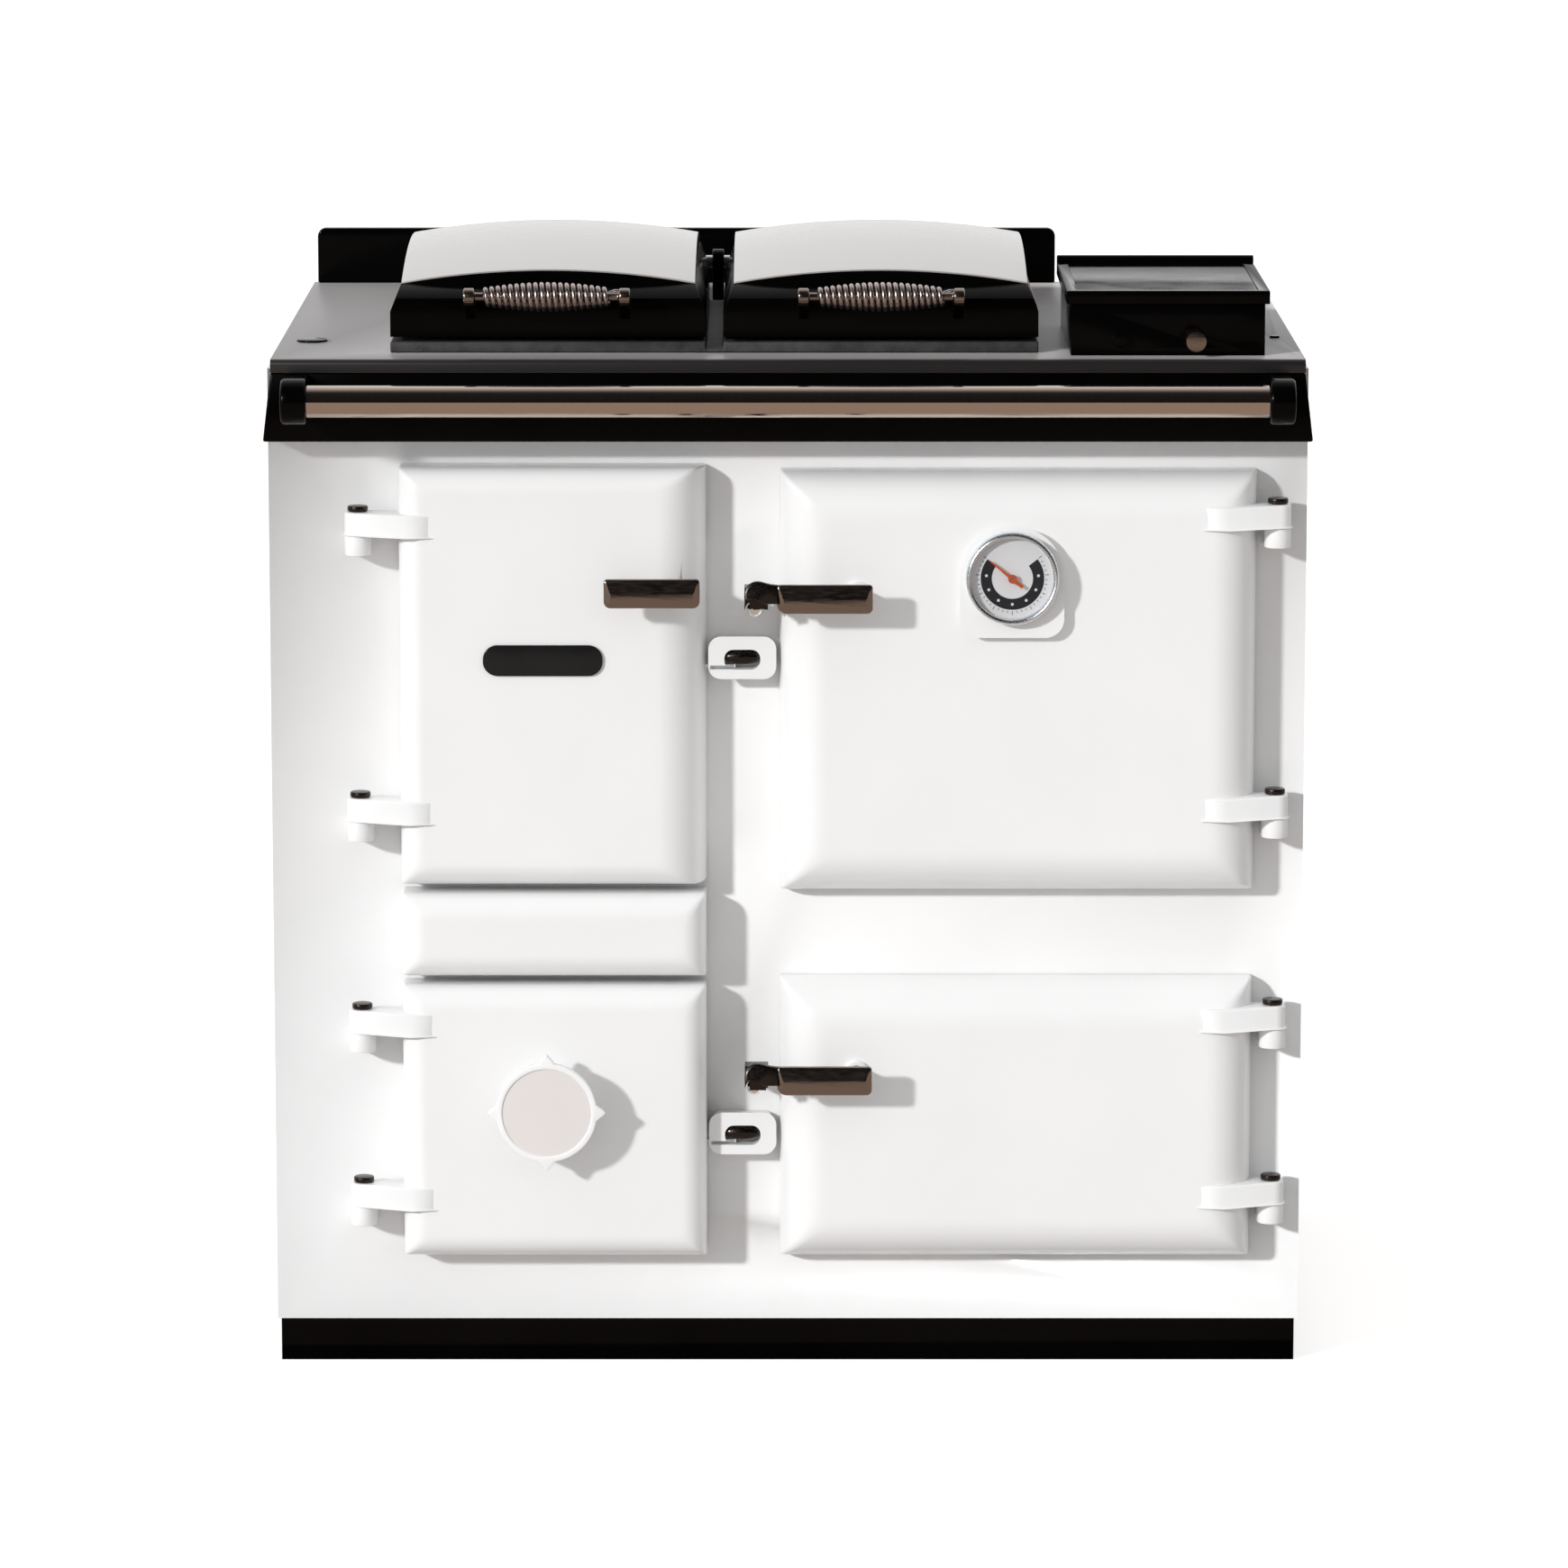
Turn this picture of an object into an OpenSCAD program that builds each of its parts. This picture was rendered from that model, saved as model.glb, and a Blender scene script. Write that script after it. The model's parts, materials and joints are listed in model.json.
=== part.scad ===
// Solid fuel range cooker of enamelled cast iron: four front doors, a hob with
// two hinged lids over one hotplate, a handrail, and a flue box on the hob.
// Frame: +Z up, the front faces -Y, +X to the right. The origin is the middle
// of the plinth's underside. Every length is in millimetres.

/* [Cabinet] */
// Width over the white casing
cabinet_w = 940; // [930:1:980]
// Depth from the front panel's face to the back panel's face
cabinet_d = 600; // [590:1:640]
// Height of the hob's flat top above the floor
hob_z = 934; // [930:1:960]
// Height of the black plinth
plinth_h = 40; // [30:1:60]
// Step of the plinth in from the casing, all round
plinth_inset = 3; // [1:1:10]
// Wall of the plinth frame
plinth_wall = 5; // [4:1:10]
// Width of the plinth's middle bar
plinth_bar = 30; // [20:1:60]
// Thickness of the cast base plate
base_t = 8; // [5:1:12]
// Thickness of the cast front panel
front_t = 8; // [6:1:12]
// Thickness of the side and back sheets
sheet_t = 3; // [2:1:5]

/* [Hob] */
// Step of the hob plate in from the casing at each side
plate_in = 5; // [1:1:8]
// Overhang of the hob plate in front of the front panel
plate_over = 35; // [30:1:40]
// Thickness of the hob plate
plate_t = 12; // [10:1:16]
// Radius of the hob plate's rounded front edge
plate_nose_r = 5; // [3:1:5]
// Height of the black front below the hob plate
fascia_h = 62; // [55:1:70]
// How far the black front's lower edge stands past the casing at each side
fascia_flare = 2; // [1:1:5]
// How far the black front's lower edge stands in front of the front panel
fascia_over = 40; // [38:1:45]
// Wall of the black front
fascia_wall = 7; // [5:1:9]
// Height of the rear upstand above the hob
upstand_h = 54; // [40:1:70]
// Thickness of the rear upstand
upstand_t = 12; // [8:1:14]
// Step of the rear upstand in from the hob's left end
upstand_in = 4; // [1:1:25]
// Step of the rear upstand in from the hob's right end
upstand_right = 202; // [166:1:216]
// Radius of the round plug in the hob's front left corner
plug_r = 14; // [10:1:18]
// Place of the round plug, in from the hob's left and front edges
plug_in = [29, 140];
// Place of the small screw, in from the hob's right and front edges
screw_in = [17, 167];

/* [Handrail] */
// Diameter of the handrail
rail_d = 29; // [24:1:32]
// Drop of the handrail's middle below the hob's top
rail_drop = 31.5; // [30:0.5:37]
// Distance of the handrail's middle in front of the front panel
rail_out = 85; // [80:1:100]
// Step of the handrail's ends in from the hob's ends
rail_end_in = 13; // [8:1:40]
// Width of each handrail bracket along the rail
rail_bracket_w = 23; // [18:1:26]
// Diameter of each bracket's round end
rail_bracket_d = 41; // [38:1:42]

/* [Hotplate and lids] */
// Step of the left lid in from the hob's left end
lid_in = 105.5; // [100:0.5:110]
// Gap between the two lids
lids_apart = 16; // [16:0.5:20]
// Gap between the right lid and the flue box
lid_flue_gap = 28.5; // [24:0.5:32]
// Depth of a lid
lid_d = 395; // [380:1:400]
// Distance of the lids' front behind the front panel's face
lid_set = 15; // [12:1:20]
// Height of a lid's underside above the hob
lid_lift = 14.5; // [14:0.5:18]
// Height of a lid's upright front face
lid_front_h = 35; // [30:1:40]
// Step of the polished cover in from each side of a lid
cover_side = 9.5; // [8.5:0.5:14]
// Step of the polished cover behind the lid's front
cover_set = 20; // [16:1:24]
// Depth of the polished cover
cover_d = 370; // [355:1:370]
// Thickness of the polished cover
cover_t = 1.5; // [1:0.5:2]
// Radius of the lid's dome, the same both ways
dome_r = 780; // [760:10:900]
// Height of the dome's middle above the hob
dome_h = 96; // [94:1:100]
// Wall of the cast lid
lid_wall = 8; // [6:1:10]
// Thickness of the polished plate under each lid
lid_liner_t = 2; // [1.5:0.5:3]
// Height of the hotplate's ground faces above the hob
hot_h = 10; // [8:1:10]
// Depth of the hotplate below the hob
hot_drop = 34; // [25:1:40]
// Width of the channel between the two ground faces
hot_channel = 16; // [12:1:20]
// Distance of the lids' hinge rod behind the lids
lid_hinge_back = 42; // [38:1:50]
// Height of the lids' hinge rod above the hob
lid_hinge_h = 36; // [35:1:42]
// Diameter of the lids' hinge rod
lid_rod_d = 12; // [10:1:14]
// Thickness of each hinge post on the hob
post_t = 11; // [9:1:11]
// Width of each hinge arm of a lid
lid_arm_w = 20; // [16:1:24]
// Step of each hinge arm's middle in from the lid's side
lid_arm_in = 42.5; // [32:0.5:52]

/* [Coil handles] */
// Outer diameter of the wound wire at its middle
coil_d = 27; // [24:1:28]
// Diameter of the wire
wire_d = 4.4; // [3.6:0.2:4.6]
// Turns of the wire
coil_turns = 20; // [16:1:22]
// Distance of a handle's middle in front of its lid
coil_out = 28; // [26:1:34]
// Height of a handle's middle above the hob
coil_z = 54; // [50:1:56]
// Distance of each handle bracket from the handle's middle
coil_bracket_x = 65; // [62:1:72]
// Thickness of each handle bracket
coil_bracket_t = 10; // [8:1:12]
// Diameter of the rod inside the wound wire
coil_rod_d = 8; // [7:0.5:8]

/* [Flue box] */
// Step of the flue box in from the hob's right end
flue_in = 35; // [30:1:40]
// Width of the flue box
flue_w = 175; // [170:1:180]
// Distance of the flue box's front behind the front panel's face
flue_set = -5; // [-8:1:5]
// Depth of the flue box
flue_d = 235; // [220:1:260]
// Height of the flue box above the hob
flue_h = 47; // [44:1:60]
// Wall of the flue box
flue_wall = 6; // [5:1:8]
// Overhang of the flue box's cover, all round
flue_cover_over = 4; // [2:1:5]
// Thickness of the flue box's cover
flue_cover_t = 12; // [10:1:14]
// Height of the raised bead along the cover's rear edge
flue_bead = 7; // [4:1:8]
// Distance of the damper knob from the flue box's right side
damper_right = 63; // [55:1:80]
// Height of the damper rod above the hob
damper_h = 15; // [14:1:16]
// Distance of the fixing bolt from the flue box's left side
flue_bolt_left = 44; // [35:1:55]
// Travel of the damper
damper_travel = 60; // [40:1:70]
// Inner radius of the flue spigot in the back
spigot_r = 62.5; // [60:0.5:76]
// Wall of the flue spigot
spigot_wall = 4; // [3:1:6]
// Length of the flue spigot behind the back panel
spigot_len = 50; // [40:1:80]
// Drop of the flue spigot's middle below the hob's top
spigot_drop = 119; // [104:1:154]

/* [Doors] */
// How far the doors stand in front of the front panel
door_out = 50; // [44:1:54]
// Gap between a closed door's rim and the front panel
door_gap = 1.5; // [1:0.5:2]
// Wall of the door castings
door_wall = 5; // [4:1:6]
// Thickness of the cast liner behind each door
liner_t = 6; // [5:1:8]
// Depth to which a door's liner enters its opening
liner_in = 9; // [6:1:10]
// Gap between a liner's pad and its opening
liner_gap = 8; // [7:1:10]
// Distance of the two left doors from the casing's left side
left_door_in = 119; // [117:1:121]
// Width of the two left doors
left_door_w = 277; // [274:1:279]
// Distance of the two right doors from the casing's right side
right_door_in = 46.5; // [44:0.5:49]
// Gap between the left and the right doors
doors_apart = 66.5; // [64:0.5:70]
// Firebox door: height of its lower edge, and drop of its upper edge below
// the hob's top
firebox_door_edges = [454, 98];
// Lower and upper edge of the fixed panel between the left doors
centre_panel_z = [369, 446];
// Lower and upper edge of the ashpit door
ashpit_door_z = [108, 361];
// Main oven door: height of its lower edge, and drop of its upper edge below
// the hob's top
main_door_edges = [446, 102];
// Lower and upper edge of the lower oven door
lower_door_z = [104, 365];
// Radius of the wide rolled edges
roll_wide = 41; // [36:1:43]
// Radius of the firebox door's right edge
roll_firebox = 43; // [36:1:43]
// Radius of the narrow rolled edges
roll_narrow = 22; // [10:1:24]

/* [Hinges] */
// Distance of the hinge pins in front of the front panel
hinge_out = 25; // [23:1:28]
// Distance of the left hinge pins from their doors' edge
left_hinge_gap = 37; // [35:1:41]
// Distance of the right hinge pins from their doors' edge
right_hinge_gap = 18.5; // [17:0.5:22]
// Diameter of a hinge pin
hinge_pin_d = 10; // [8:1:12]
// Diameter of a hinge pin's head
hinge_head_d = 18.5; // [16:0.5:20]
// Height of a hinge pin's head
hinge_head_h = 5; // [4:1:7]
// Outer diameter of the hinge barrels
hinge_barrel_d = 24; // [22:1:26]
// Height of the door's hinge arms
hinge_arm_h = 21; // [16:1:22]
// Height of the lugs on the front panel
hinge_lug_h = 18; // [14:1:20]
// Length of the hinge arms, from the pin to where they meet the door's face
hinge_arm_l = 66; // [60:1:72]
// Undersides of the firebox door's hinge arms: drop of the upper one below the
// hob's top, and height of the lower one
firebox_arms = [160, 512];
// Undersides of the hinge arms: ashpit door
ashpit_arms_z = [316, 154];
// Undersides of the main oven door's hinge arms: drop of the upper one below
// the hob's top, and height of the lower one
main_arms = [153, 515];
// Undersides of the hinge arms: lower oven door
lower_arms_z = [320, 156];

/* [Handles and fittings] */
// Length of a handle's grip
grip_l = 86; // [80:1:92]
// Height of a handle's grip
grip_h = 26; // [22:1:28]
// Thickness of a handle's grip
grip_t = 9; // [8:1:12]
// Clear space between a grip and its door
grip_gap = 34; // [30:1:40]
// How far the right doors' grips start before their doors' left edge
grip_over = 2.5; // [1:0.5:4]
// Drop of the main oven door's grip below the hob's top
main_grip_drop = 209.5; // [204:0.5:219]
// Middle height of the lower oven door's grip
lower_grip_z = 283.5; // [275:0.5:290]
// Distance of the firebox door's grip's left end from the door's right edge
firebox_grip_in = 91; // [91:1:94]
// Drop of the firebox door's grip below the hob's top
firebox_grip_drop = 204.5; // [199:0.5:214]
// Diameter of a handle's spindle
spindle_d = 14; // [12:1:16]
// Distance of the spindle from the grip's free end
spindle_in = 14; // [12:1:16]
// Distance of the catches from the right doors' left edge
catch_left = 22.5; // [22:0.5:23.5]
// Drop of a catch below its grip's middle
catch_drop = 17; // [16:0.5:18]
// Diameter of a catch's ball
catch_ball_d = 14.4; // [13:0.2:15]
// Distance of a catch's ball in front of the front panel
catch_out = 36; // [34:1:38]
// Step of the thermometer's middle to the left of its door's middle
gauge_left = 6.5; // [0:0.5:16]
// Drop of the thermometer's middle below the hob's top
gauge_drop = 194; // [189:0.5:206]
// Radius of the thermometer's case
gauge_r = 42; // [38:1:44]
// Depth of the thermometer's case
gauge_t = 13; // [11:1:16]
// Thickness of the white pad behind the thermometer
gauge_pad_t = 10; // [8:1:12]
// Drop of the white pad's lower edge below the thermometer's middle
gauge_pad_drop = 52; // [48:1:56]
// Distance of the bare oval plate's middle from its door's left edge
oval_in = 130; // [126:1:134]
// Drop of the bare oval plate's middle below the hob's top
oval_drop = 271; // [266:1:279]
// Length and height of the bare oval plate
oval_size = [108, 28];
// Distance of the air wheel's middle from its door's left edge
wheel_in = 132.5; // [131:0.5:137]
// Middle height of the air wheel
wheel_z = 253; // [246:0.5:256]
// Radius of the air wheel's disc
wheel_r = 45.5; // [42:0.5:48]
// Radius over the air wheel's four nubs
wheel_nub_r = 53.5; // [51:0.5:56]
// Thickness of the air wheel's disc
wheel_t = 9; // [7:1:10]
// Distance of the air wheel's disc from the door
wheel_out = 27; // [24:1:30]
// Radius of the round air inlet behind the wheel
inlet_r = 28; // [24:1:30]
// Roller keepers: drop of the upper one's middle below the hob's top, and
// height of the lower one's middle
keeper_at = [273, 220];
// Gap between the left doors and the roller keepers
keeper_gap = 4.5; // [4:0.5:5]
// Width of the roller keepers
keeper_w = 56.5; // [55:0.5:57.5]
// Height of a roller keeper
keeper_h = 34; // [32:1:38]
// Distance of a roller keeper's face in front of the front panel
keeper_out = 24; // [22:1:28]
// Largest diameter of a keeper's roller
roller_d = 14; // [12:1:15]

/* [Inside] */
// Step of the two ovens' openings in from their doors' sides
oven_margin = 37.5; // [36:0.5:39]
// Main oven's opening: height of its lower side, and drop of its upper side
// below the hob's top
main_oven_edges = [484, 140];
// Lower and upper side of the lower oven's opening
lower_oven_z = [142, 327];
// Depth of the ovens behind the front panel
oven_d = 440; // [400:1:460]
// Wall of the ovens
oven_wall = 6; // [4:1:8]
// Step of the firebox's openings in from their doors' sides
fire_margin = 46; // [45:0.5:48]
// Firebox's stoking opening: height of its lower side, and drop of its upper
// side below the hob's top
stoke_edges = [520, 189];
// Lower and upper side of the ashpit's opening
ashpit_z = [146, 322];
// Wall of the cast firebox
fire_wall = 10; // [8:1:12]
// Thickness of the firebricks
brick_t = 25; // [20:1:30]
// Width of the firebox between its bricks
fire_w = 210; // [200:1:220]
// Depth of the firebox casting
fire_d = 360; // [330:1:380]
// Height of the grate above the floor
grate_z = 450; // [440:1:460]
// Thickness of the grate
grate_t = 16; // [14:1:20]
// Travel of the riddling grate
riddle_travel = 20; // [10:1:24]
// Wall of the steel ashpan
ashpan_wall = 2; // [1.5:0.5:3]
// Height of the ashpan
ashpan_h = 110; // [90:1:130]
// Diameter of the shelf wires
shelf_wire_d = 5; // [4:0.5:6]

/* [Hidden] */

white = "whitesmoke";
black = [0.06, 0.06, 0.07];
iron = [0.22, 0.22, 0.23];
steel = [0.72, 0.72, 0.74];
nickel = [0.20, 0.17, 0.16];

// Running fit of a pin or spindle in its bore, on the radius
fit = 0.05;
// Gap between pieces that move past each other
gap = 0.4;
// Smallest overlap that makes a cut go right through
cut = 1;

// Edge radii of the castings: left, right, lower and upper edge
firebox_rolls = [roll_narrow, roll_firebox, roll_narrow, roll_narrow];
ashpit_rolls = [roll_narrow, roll_narrow, roll_narrow, roll_narrow];
centre_rolls = ashpit_rolls;
right_rolls = [roll_wide, roll_wide, roll_wide, roll_wide];

// Hob: ledge under the hotplate, plug, screw, bolt head and upstand corner
hot_ledge = 20;
plug_h = 2.5;
plug_dome = 150;
screw_d = 6;
screw_l = 8;
screw_head_r = 4.5;
screw_head_h = 2;
flue_bolt_r = 7;
upstand_r = 8;
// Handrail: the end of its bore in a bracket, and the bracket's web
rail_stop = 6;
rail_web = 30;
// Lids: shoulder under the cover, post clearance, rod ends and arm barrels
lid_shoulder = 12;
post_gap = 2;
rod_proud = 4;
lid_arm_thin = 1;
// Coil handles: bracket boss, its foot on the lid, and the wire's shape
coil_boss_r = 8;
coil_foot_z = 16;
wire_sides = 6;
bend_turn = 20;
// Flue box: cover rim and panel, flue hole ledge, damper rod, knob and plate
flue_rim = 10;
flue_panel = 1.5;
flue_ledge = 8;
damper_rod_r = 4;
damper_knob_r = 9;
damper_knob_l = 22;
damper_side = 1;
damper_in = damper_travel + flue_wall + damper_side;
damper_plate_t = 4;
spigot_flange = 22;
spigot_play = 1;
// Ovens: runner section and set-back, shelf margins and wires
runner_w = 12;
runner_t = 5;
runner_in = 12;
shelf_side = 6;
shelf_wires = 14;
shelf_thin = 0.7;
main_runner_low = 560;
main_runner_drop = 254;
lower_runners = [220];
// Firebox: drop of the casting below the hob, grate lip and slots, ashpan margins and bail
fire_drop = 64;
grate_lip = 6;
grate_slots = 9;
ashpan_side = 8;
ashpan_in = 30;
ashpan_bail = 22;
ashpan_grip = 45;
bail_r = 3;
// Keepers: wall, corner, web behind the roller, journals, barrel, tongue
keeper_wall = 12;
keeper_r = 8;
keeper_back = 6;
journal_r = 2.5;
journal_l = 6;
roller_waist = 2;
tongue_t = 3;
tongue_deep = 9;
tongue_in = 10;
tongue_play = 0.1;
// Hinge arms: place of the knee along the arm, and its height over the door
arm_knee = 0.68;
arm_proud = 3;
// Handles: corner, dish, border, chamfer, boss, collar, nose and hook
grip_r = 4;
grip_dish = 1.2;
grip_border = 4;
grip_chamfer = 8;
spindle_boss_r = 11;
spindle_boss = 5;
post_r = spindle_d / 2 - 1;
post_deep = 24;
collar_t = 5;
nose_r = 12;
nose_rise = 3;
hook_wall = 2;
hook_rise = 1;
hook_right = 12;
hook_back = 3;
hook_clear = 1.6;
oval_t = 3;
// Thermometer: pad outline, case wall and well, axle, glass and needle
gauge_pad_r = gauge_r + 2;
gauge_pad_corner = 14;
gauge_wall = 5;
gauge_well = 8;
gauge_axle_r = 1.5;
gauge_glass = 2;
glass_play = 0.15;
needle_rest = 141;
needle_t = 1;
needle_w = 3;
needle_l = 26;
needle_tail = 12;
needle_hub_r = 4;
// Air wheel: stud, its bar, washer, hub, valve plate, nubs and dish
stud_r = 5;
stud_bar_h = 12;
stud_bar_t = 6;
stud_bar_over = 8;
washer_r = 12;
washer_t = 3;
wheel_hub_r = 14;
wheel_skin = 3;
wheel_rim = 5;
wheel_dish = 1.5;
valve_over = 8;
valve_t = 5;
nub_root = 3;
nub_w = 18;

rail_z = hob_z - rail_drop;
firebox_door_z = [firebox_door_edges[0], hob_z - firebox_door_edges[1]];
main_door_z = [main_door_edges[0], hob_z - main_door_edges[1]];
firebox_arms_z = [hob_z - firebox_arms[0], firebox_arms[1]];
main_arms_z = [hob_z - main_arms[0], main_arms[1]];
main_grip_z = hob_z - main_grip_drop;
firebox_grip_z = hob_z - firebox_grip_drop;
gauge_z = hob_z - gauge_drop;
oval_z = hob_z - oval_drop;
keeper_z = [hob_z - keeper_at[0], keeper_at[1]];
main_oven_z = [main_oven_edges[0], hob_z - main_oven_edges[1]];
stoke_z = [stoke_edges[0], hob_z - stoke_edges[1]];
main_runners = [main_runner_low, hob_z - main_runner_drop];
fire_top = hob_z - fire_drop;
front_y = -cabinet_d / 2;
back_y = cabinet_d / 2;
plate_under = hob_z - plate_t;
panel_back_y = front_y + front_t;
side_x = cabinet_w / 2;
plate_w = cabinet_w - 2 * plate_in;
plate_front_y = front_y - plate_over;
fascia_w = cabinet_w + 2 * fascia_flare;
rail_free = plate_w - 2 * (rail_end_in + rail_bracket_w);
upstand_x0 = -plate_w / 2 + upstand_in;
upstand_x1 = plate_w / 2 - upstand_right;
plug_at = [-plate_w / 2 + plug_in[0], plate_front_y + plug_in[1]];
screw_at = [plate_w / 2 - screw_in[0], plate_front_y + screw_in[1]];
flue_x1 = plate_w / 2 - flue_in;
flue_x0 = flue_x1 - flue_w;
damper_x = flue_x1 - damper_right;
flue_bolt_x = flue_x0 + flue_bolt_left;
spigot_at = [(flue_x0 + flue_x1) / 2, hob_z - spigot_drop];
lid_w = (flue_x0 - lid_flue_gap + plate_w / 2 - lid_in - lids_apart) / 2;
lid_x_left = -plate_w / 2 + lid_in + lid_w / 2;
lid_x_right = lid_x_left + lid_w + lids_apart;
cover_w = lid_w - 2 * cover_side;
lid_arm_x = lid_w / 2 - lid_arm_in;
left_door_x0 = -side_x + left_door_in;
left_door_x1 = left_door_x0 + left_door_w;
right_door_x1 = side_x - right_door_in;
right_door_x0 = left_door_x1 + doors_apart;
left_hinge_x = left_door_x0 - left_hinge_gap;
right_hinge_x = right_door_x1 + right_hinge_gap;
grip_x0 = right_door_x0 - grip_over;
firebox_grip_x0 = left_door_x1 - firebox_grip_in;
catch_x = right_door_x0 - catch_left;
gauge_x = (right_door_x0 + right_door_x1) / 2 - gauge_left;
oval_x = left_door_x0 + oval_in;
wheel_x = left_door_x0 + wheel_in;
keeper_x = [left_door_x1 + keeper_gap, left_door_x1 + keeper_gap + keeper_w];
oven_x = [right_door_x0 + oven_margin, right_door_x1 - oven_margin];
fire_x = [left_door_x0 + fire_margin, left_door_x1 - fire_margin];
door_y = front_y - door_out;
rim_y = front_y - door_gap;

lid_front_y = front_y + lid_set;
lid_back_y = lid_front_y + lid_d;
lid_hinge_y = lid_back_y + lid_hinge_back;
lid_hinge_z = hob_z + lid_hinge_h;
lid_under = hob_z + lid_lift;
cover_y0 = lid_front_y + cover_set;
dome_y = cover_y0 + cover_d / 2;
dome_z = hob_z + dome_h - dome_r;
// Width of the doors' rope seals, the depth of their grooves, their step out
// from the edge of the opening, and their play in the groove
rope_w = 10;
rope_sunk = 4;
rope_step = 2;
rope_play = 0.15;
// Room between a liner and its door, and between a cover and its lid
liner_play = 0.3;
cover_seat = 0.2;
coil_y = lid_front_y - coil_out;
coil_axis_z = hob_z + coil_z;

flue_y0 = front_y + flue_set;
flue_y1 = flue_y0 + flue_d;
flue_top = hob_z + flue_h;

firebox_box = [left_door_x0, left_door_x1, firebox_door_z[0], firebox_door_z[1]];
centre_box = [left_door_x0, left_door_x1, centre_panel_z[0], centre_panel_z[1]];
ashpit_box = [left_door_x0, left_door_x1, ashpit_door_z[0], ashpit_door_z[1]];
main_box = [right_door_x0, right_door_x1, main_door_z[0], main_door_z[1]];
lower_box = [right_door_x0, right_door_x1, lower_door_z[0], lower_door_z[1]];
stoke_box = [fire_x[0], fire_x[1], stoke_z[0], stoke_z[1]];
ash_box = [fire_x[0], fire_x[1], ashpit_z[0], ashpit_z[1]];
main_hole = [oven_x[0], oven_x[1], main_oven_z[0], main_oven_z[1]];
lower_hole = [oven_x[0], oven_x[1], lower_oven_z[0], lower_oven_z[1]];

left_arms_z = concat(firebox_arms_z, ashpit_arms_z);
right_arms_z = concat(main_arms_z, lower_arms_z);

// A block given by its lowest and highest corners
module span(low, high) {
    translate(low) cube(high - low);
}

// A block over box [x0, x1, z0, z1] from y0 to y1
module slab(box, y0, y1) {
    span([box[0], y0, box[2]], [box[1], y1, box[3]]);
}

// Box [x0, x1, z0, z1] made smaller by d on each side
function inset(box, d) = [box[0] + d, box[1] - d, box[2] + d, box[3] - d];

// A cylinder of radius r along Y from y0 to y1 at [x, z]
module rod_y(at, r, y0, y1) {
    translate([at[0], y0, at[1]]) rotate([-90, 0, 0]) cylinder(r = r, h = y1 - y0, $fn = 48);
}

// A cylinder of radius r along X from x0 to x1 at [y, z]
module rod_x(at, r, x0, x1) {
    translate([x0, at[0], at[1]]) rotate([0, 90, 0]) cylinder(r = r, h = x1 - x0, $fn = 48);
}

// A cylinder of radius r along Z from z0 to z1 at [x, y]
module rod_z(at, r, z0, z1) {
    translate([at[0], at[1], z0]) cylinder(r = r, h = z1 - z0, $fn = 48);
}

// An upright outline in X and Z, drawn from y0 to y1
module plate_y(y0, y1) {
    translate([0, y1, 0]) rotate([90, 0, 0]) linear_extrude(height = y1 - y0) children();
}

// An upright outline in Y and Z, drawn from x0 to x1
module plate_x(x0, x1) {
    translate([x0, 0, 0]) rotate([90, 0, 90]) linear_extrude(height = x1 - x0) children();
}

// A rectangle with round corners of radius r
module round_rect(x0, x1, z0, z1, r) {
    translate([x0 + r, z0]) square([x1 - x0 - 2 * r, z1 - z0]);
    translate([x0, z0 + r]) square([x1 - x0, z1 - z0 - 2 * r]);
    for (x = [x0 + r, x1 - r], z = [z0 + r, z1 - r]) translate([x, z]) circle(r = r, $fn = 32);
}

// Section of a door casting from a to b, d deep, with its first edge rolled
// to radius ra and its last edge to rb. The depth runs along the second axis.
module roll_section(a, b, d, ra, rb) {
    translate([a + ra, 0]) square([b - a - ra - rb, d]);
    translate([a, 0]) square([ra, d - ra]);
    translate([b - rb, 0]) square([rb, d - rb]);
    intersection() {
        translate([a, 0]) square([ra, d]);
        translate([a + ra, d - ra]) circle(r = ra, $fn = 96);
    }
    intersection() {
        translate([b - rb, 0]) square([rb, d]);
        translate([b - rb, d - rb]) circle(r = rb, $fn = 96);
    }
}

// A pillow-like block over box, with its rim at y and its face d in front.
// rolls holds the edge radii: left, right, lower and upper.
module rolled_block(box, y, d, rolls) {
    intersection() {
        translate([0, y, box[2]]) mirror([0, 1, 0])
            linear_extrude(height = box[3] - box[2])
                roll_section(box[0], box[1], d, rolls[0], rolls[1]);
        translate([box[0], y, 0]) rotate(a = 180, v = [1, 0, 1])
            linear_extrude(height = box[1] - box[0])
                roll_section(box[2], box[3], d, rolls[2], rolls[3]);
    }
}

// The hollow inside such a block of a door or of the fixed panel
module rolled_hollow(box, y, rolls) {
    translate([0, cut, 0]) rolled_block(inset(box, door_wall), y,
        y - door_y - door_wall + cut, [for (r = rolls) r - door_wall]);
}

// Plan of a hinge arm: a round barrel at the pin and a wedge that runs onto
// the door's face. side is 1 when the door lies to the right of its pin.
module arm_plan(pin_x, edge_x, side) {
    barrel_r = hinge_barrel_d / 2;
    pin_y = front_y - hinge_out;
    tip_x = pin_x + side * hinge_arm_l;
    translate([pin_x, pin_y]) circle(r = barrel_r, $fn = 48);
    polygon([
        [pin_x, pin_y - barrel_r],
        [pin_x + side * arm_knee * hinge_arm_l, door_y - arm_proud],
        [tip_x, door_y],
        [tip_x, door_y + door_wall],
        [edge_x + side * door_wall, pin_y + barrel_r],
        [pin_x, pin_y + barrel_r],
    ]);
}

// The two hinge arms of a door, drawn solid
module arms(pin_x, edge_x, side, heights) {
    for (z = heights) translate([0, 0, z]) linear_extrude(height = hinge_arm_h)
        arm_plan(pin_x, edge_x, side);
}

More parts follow.
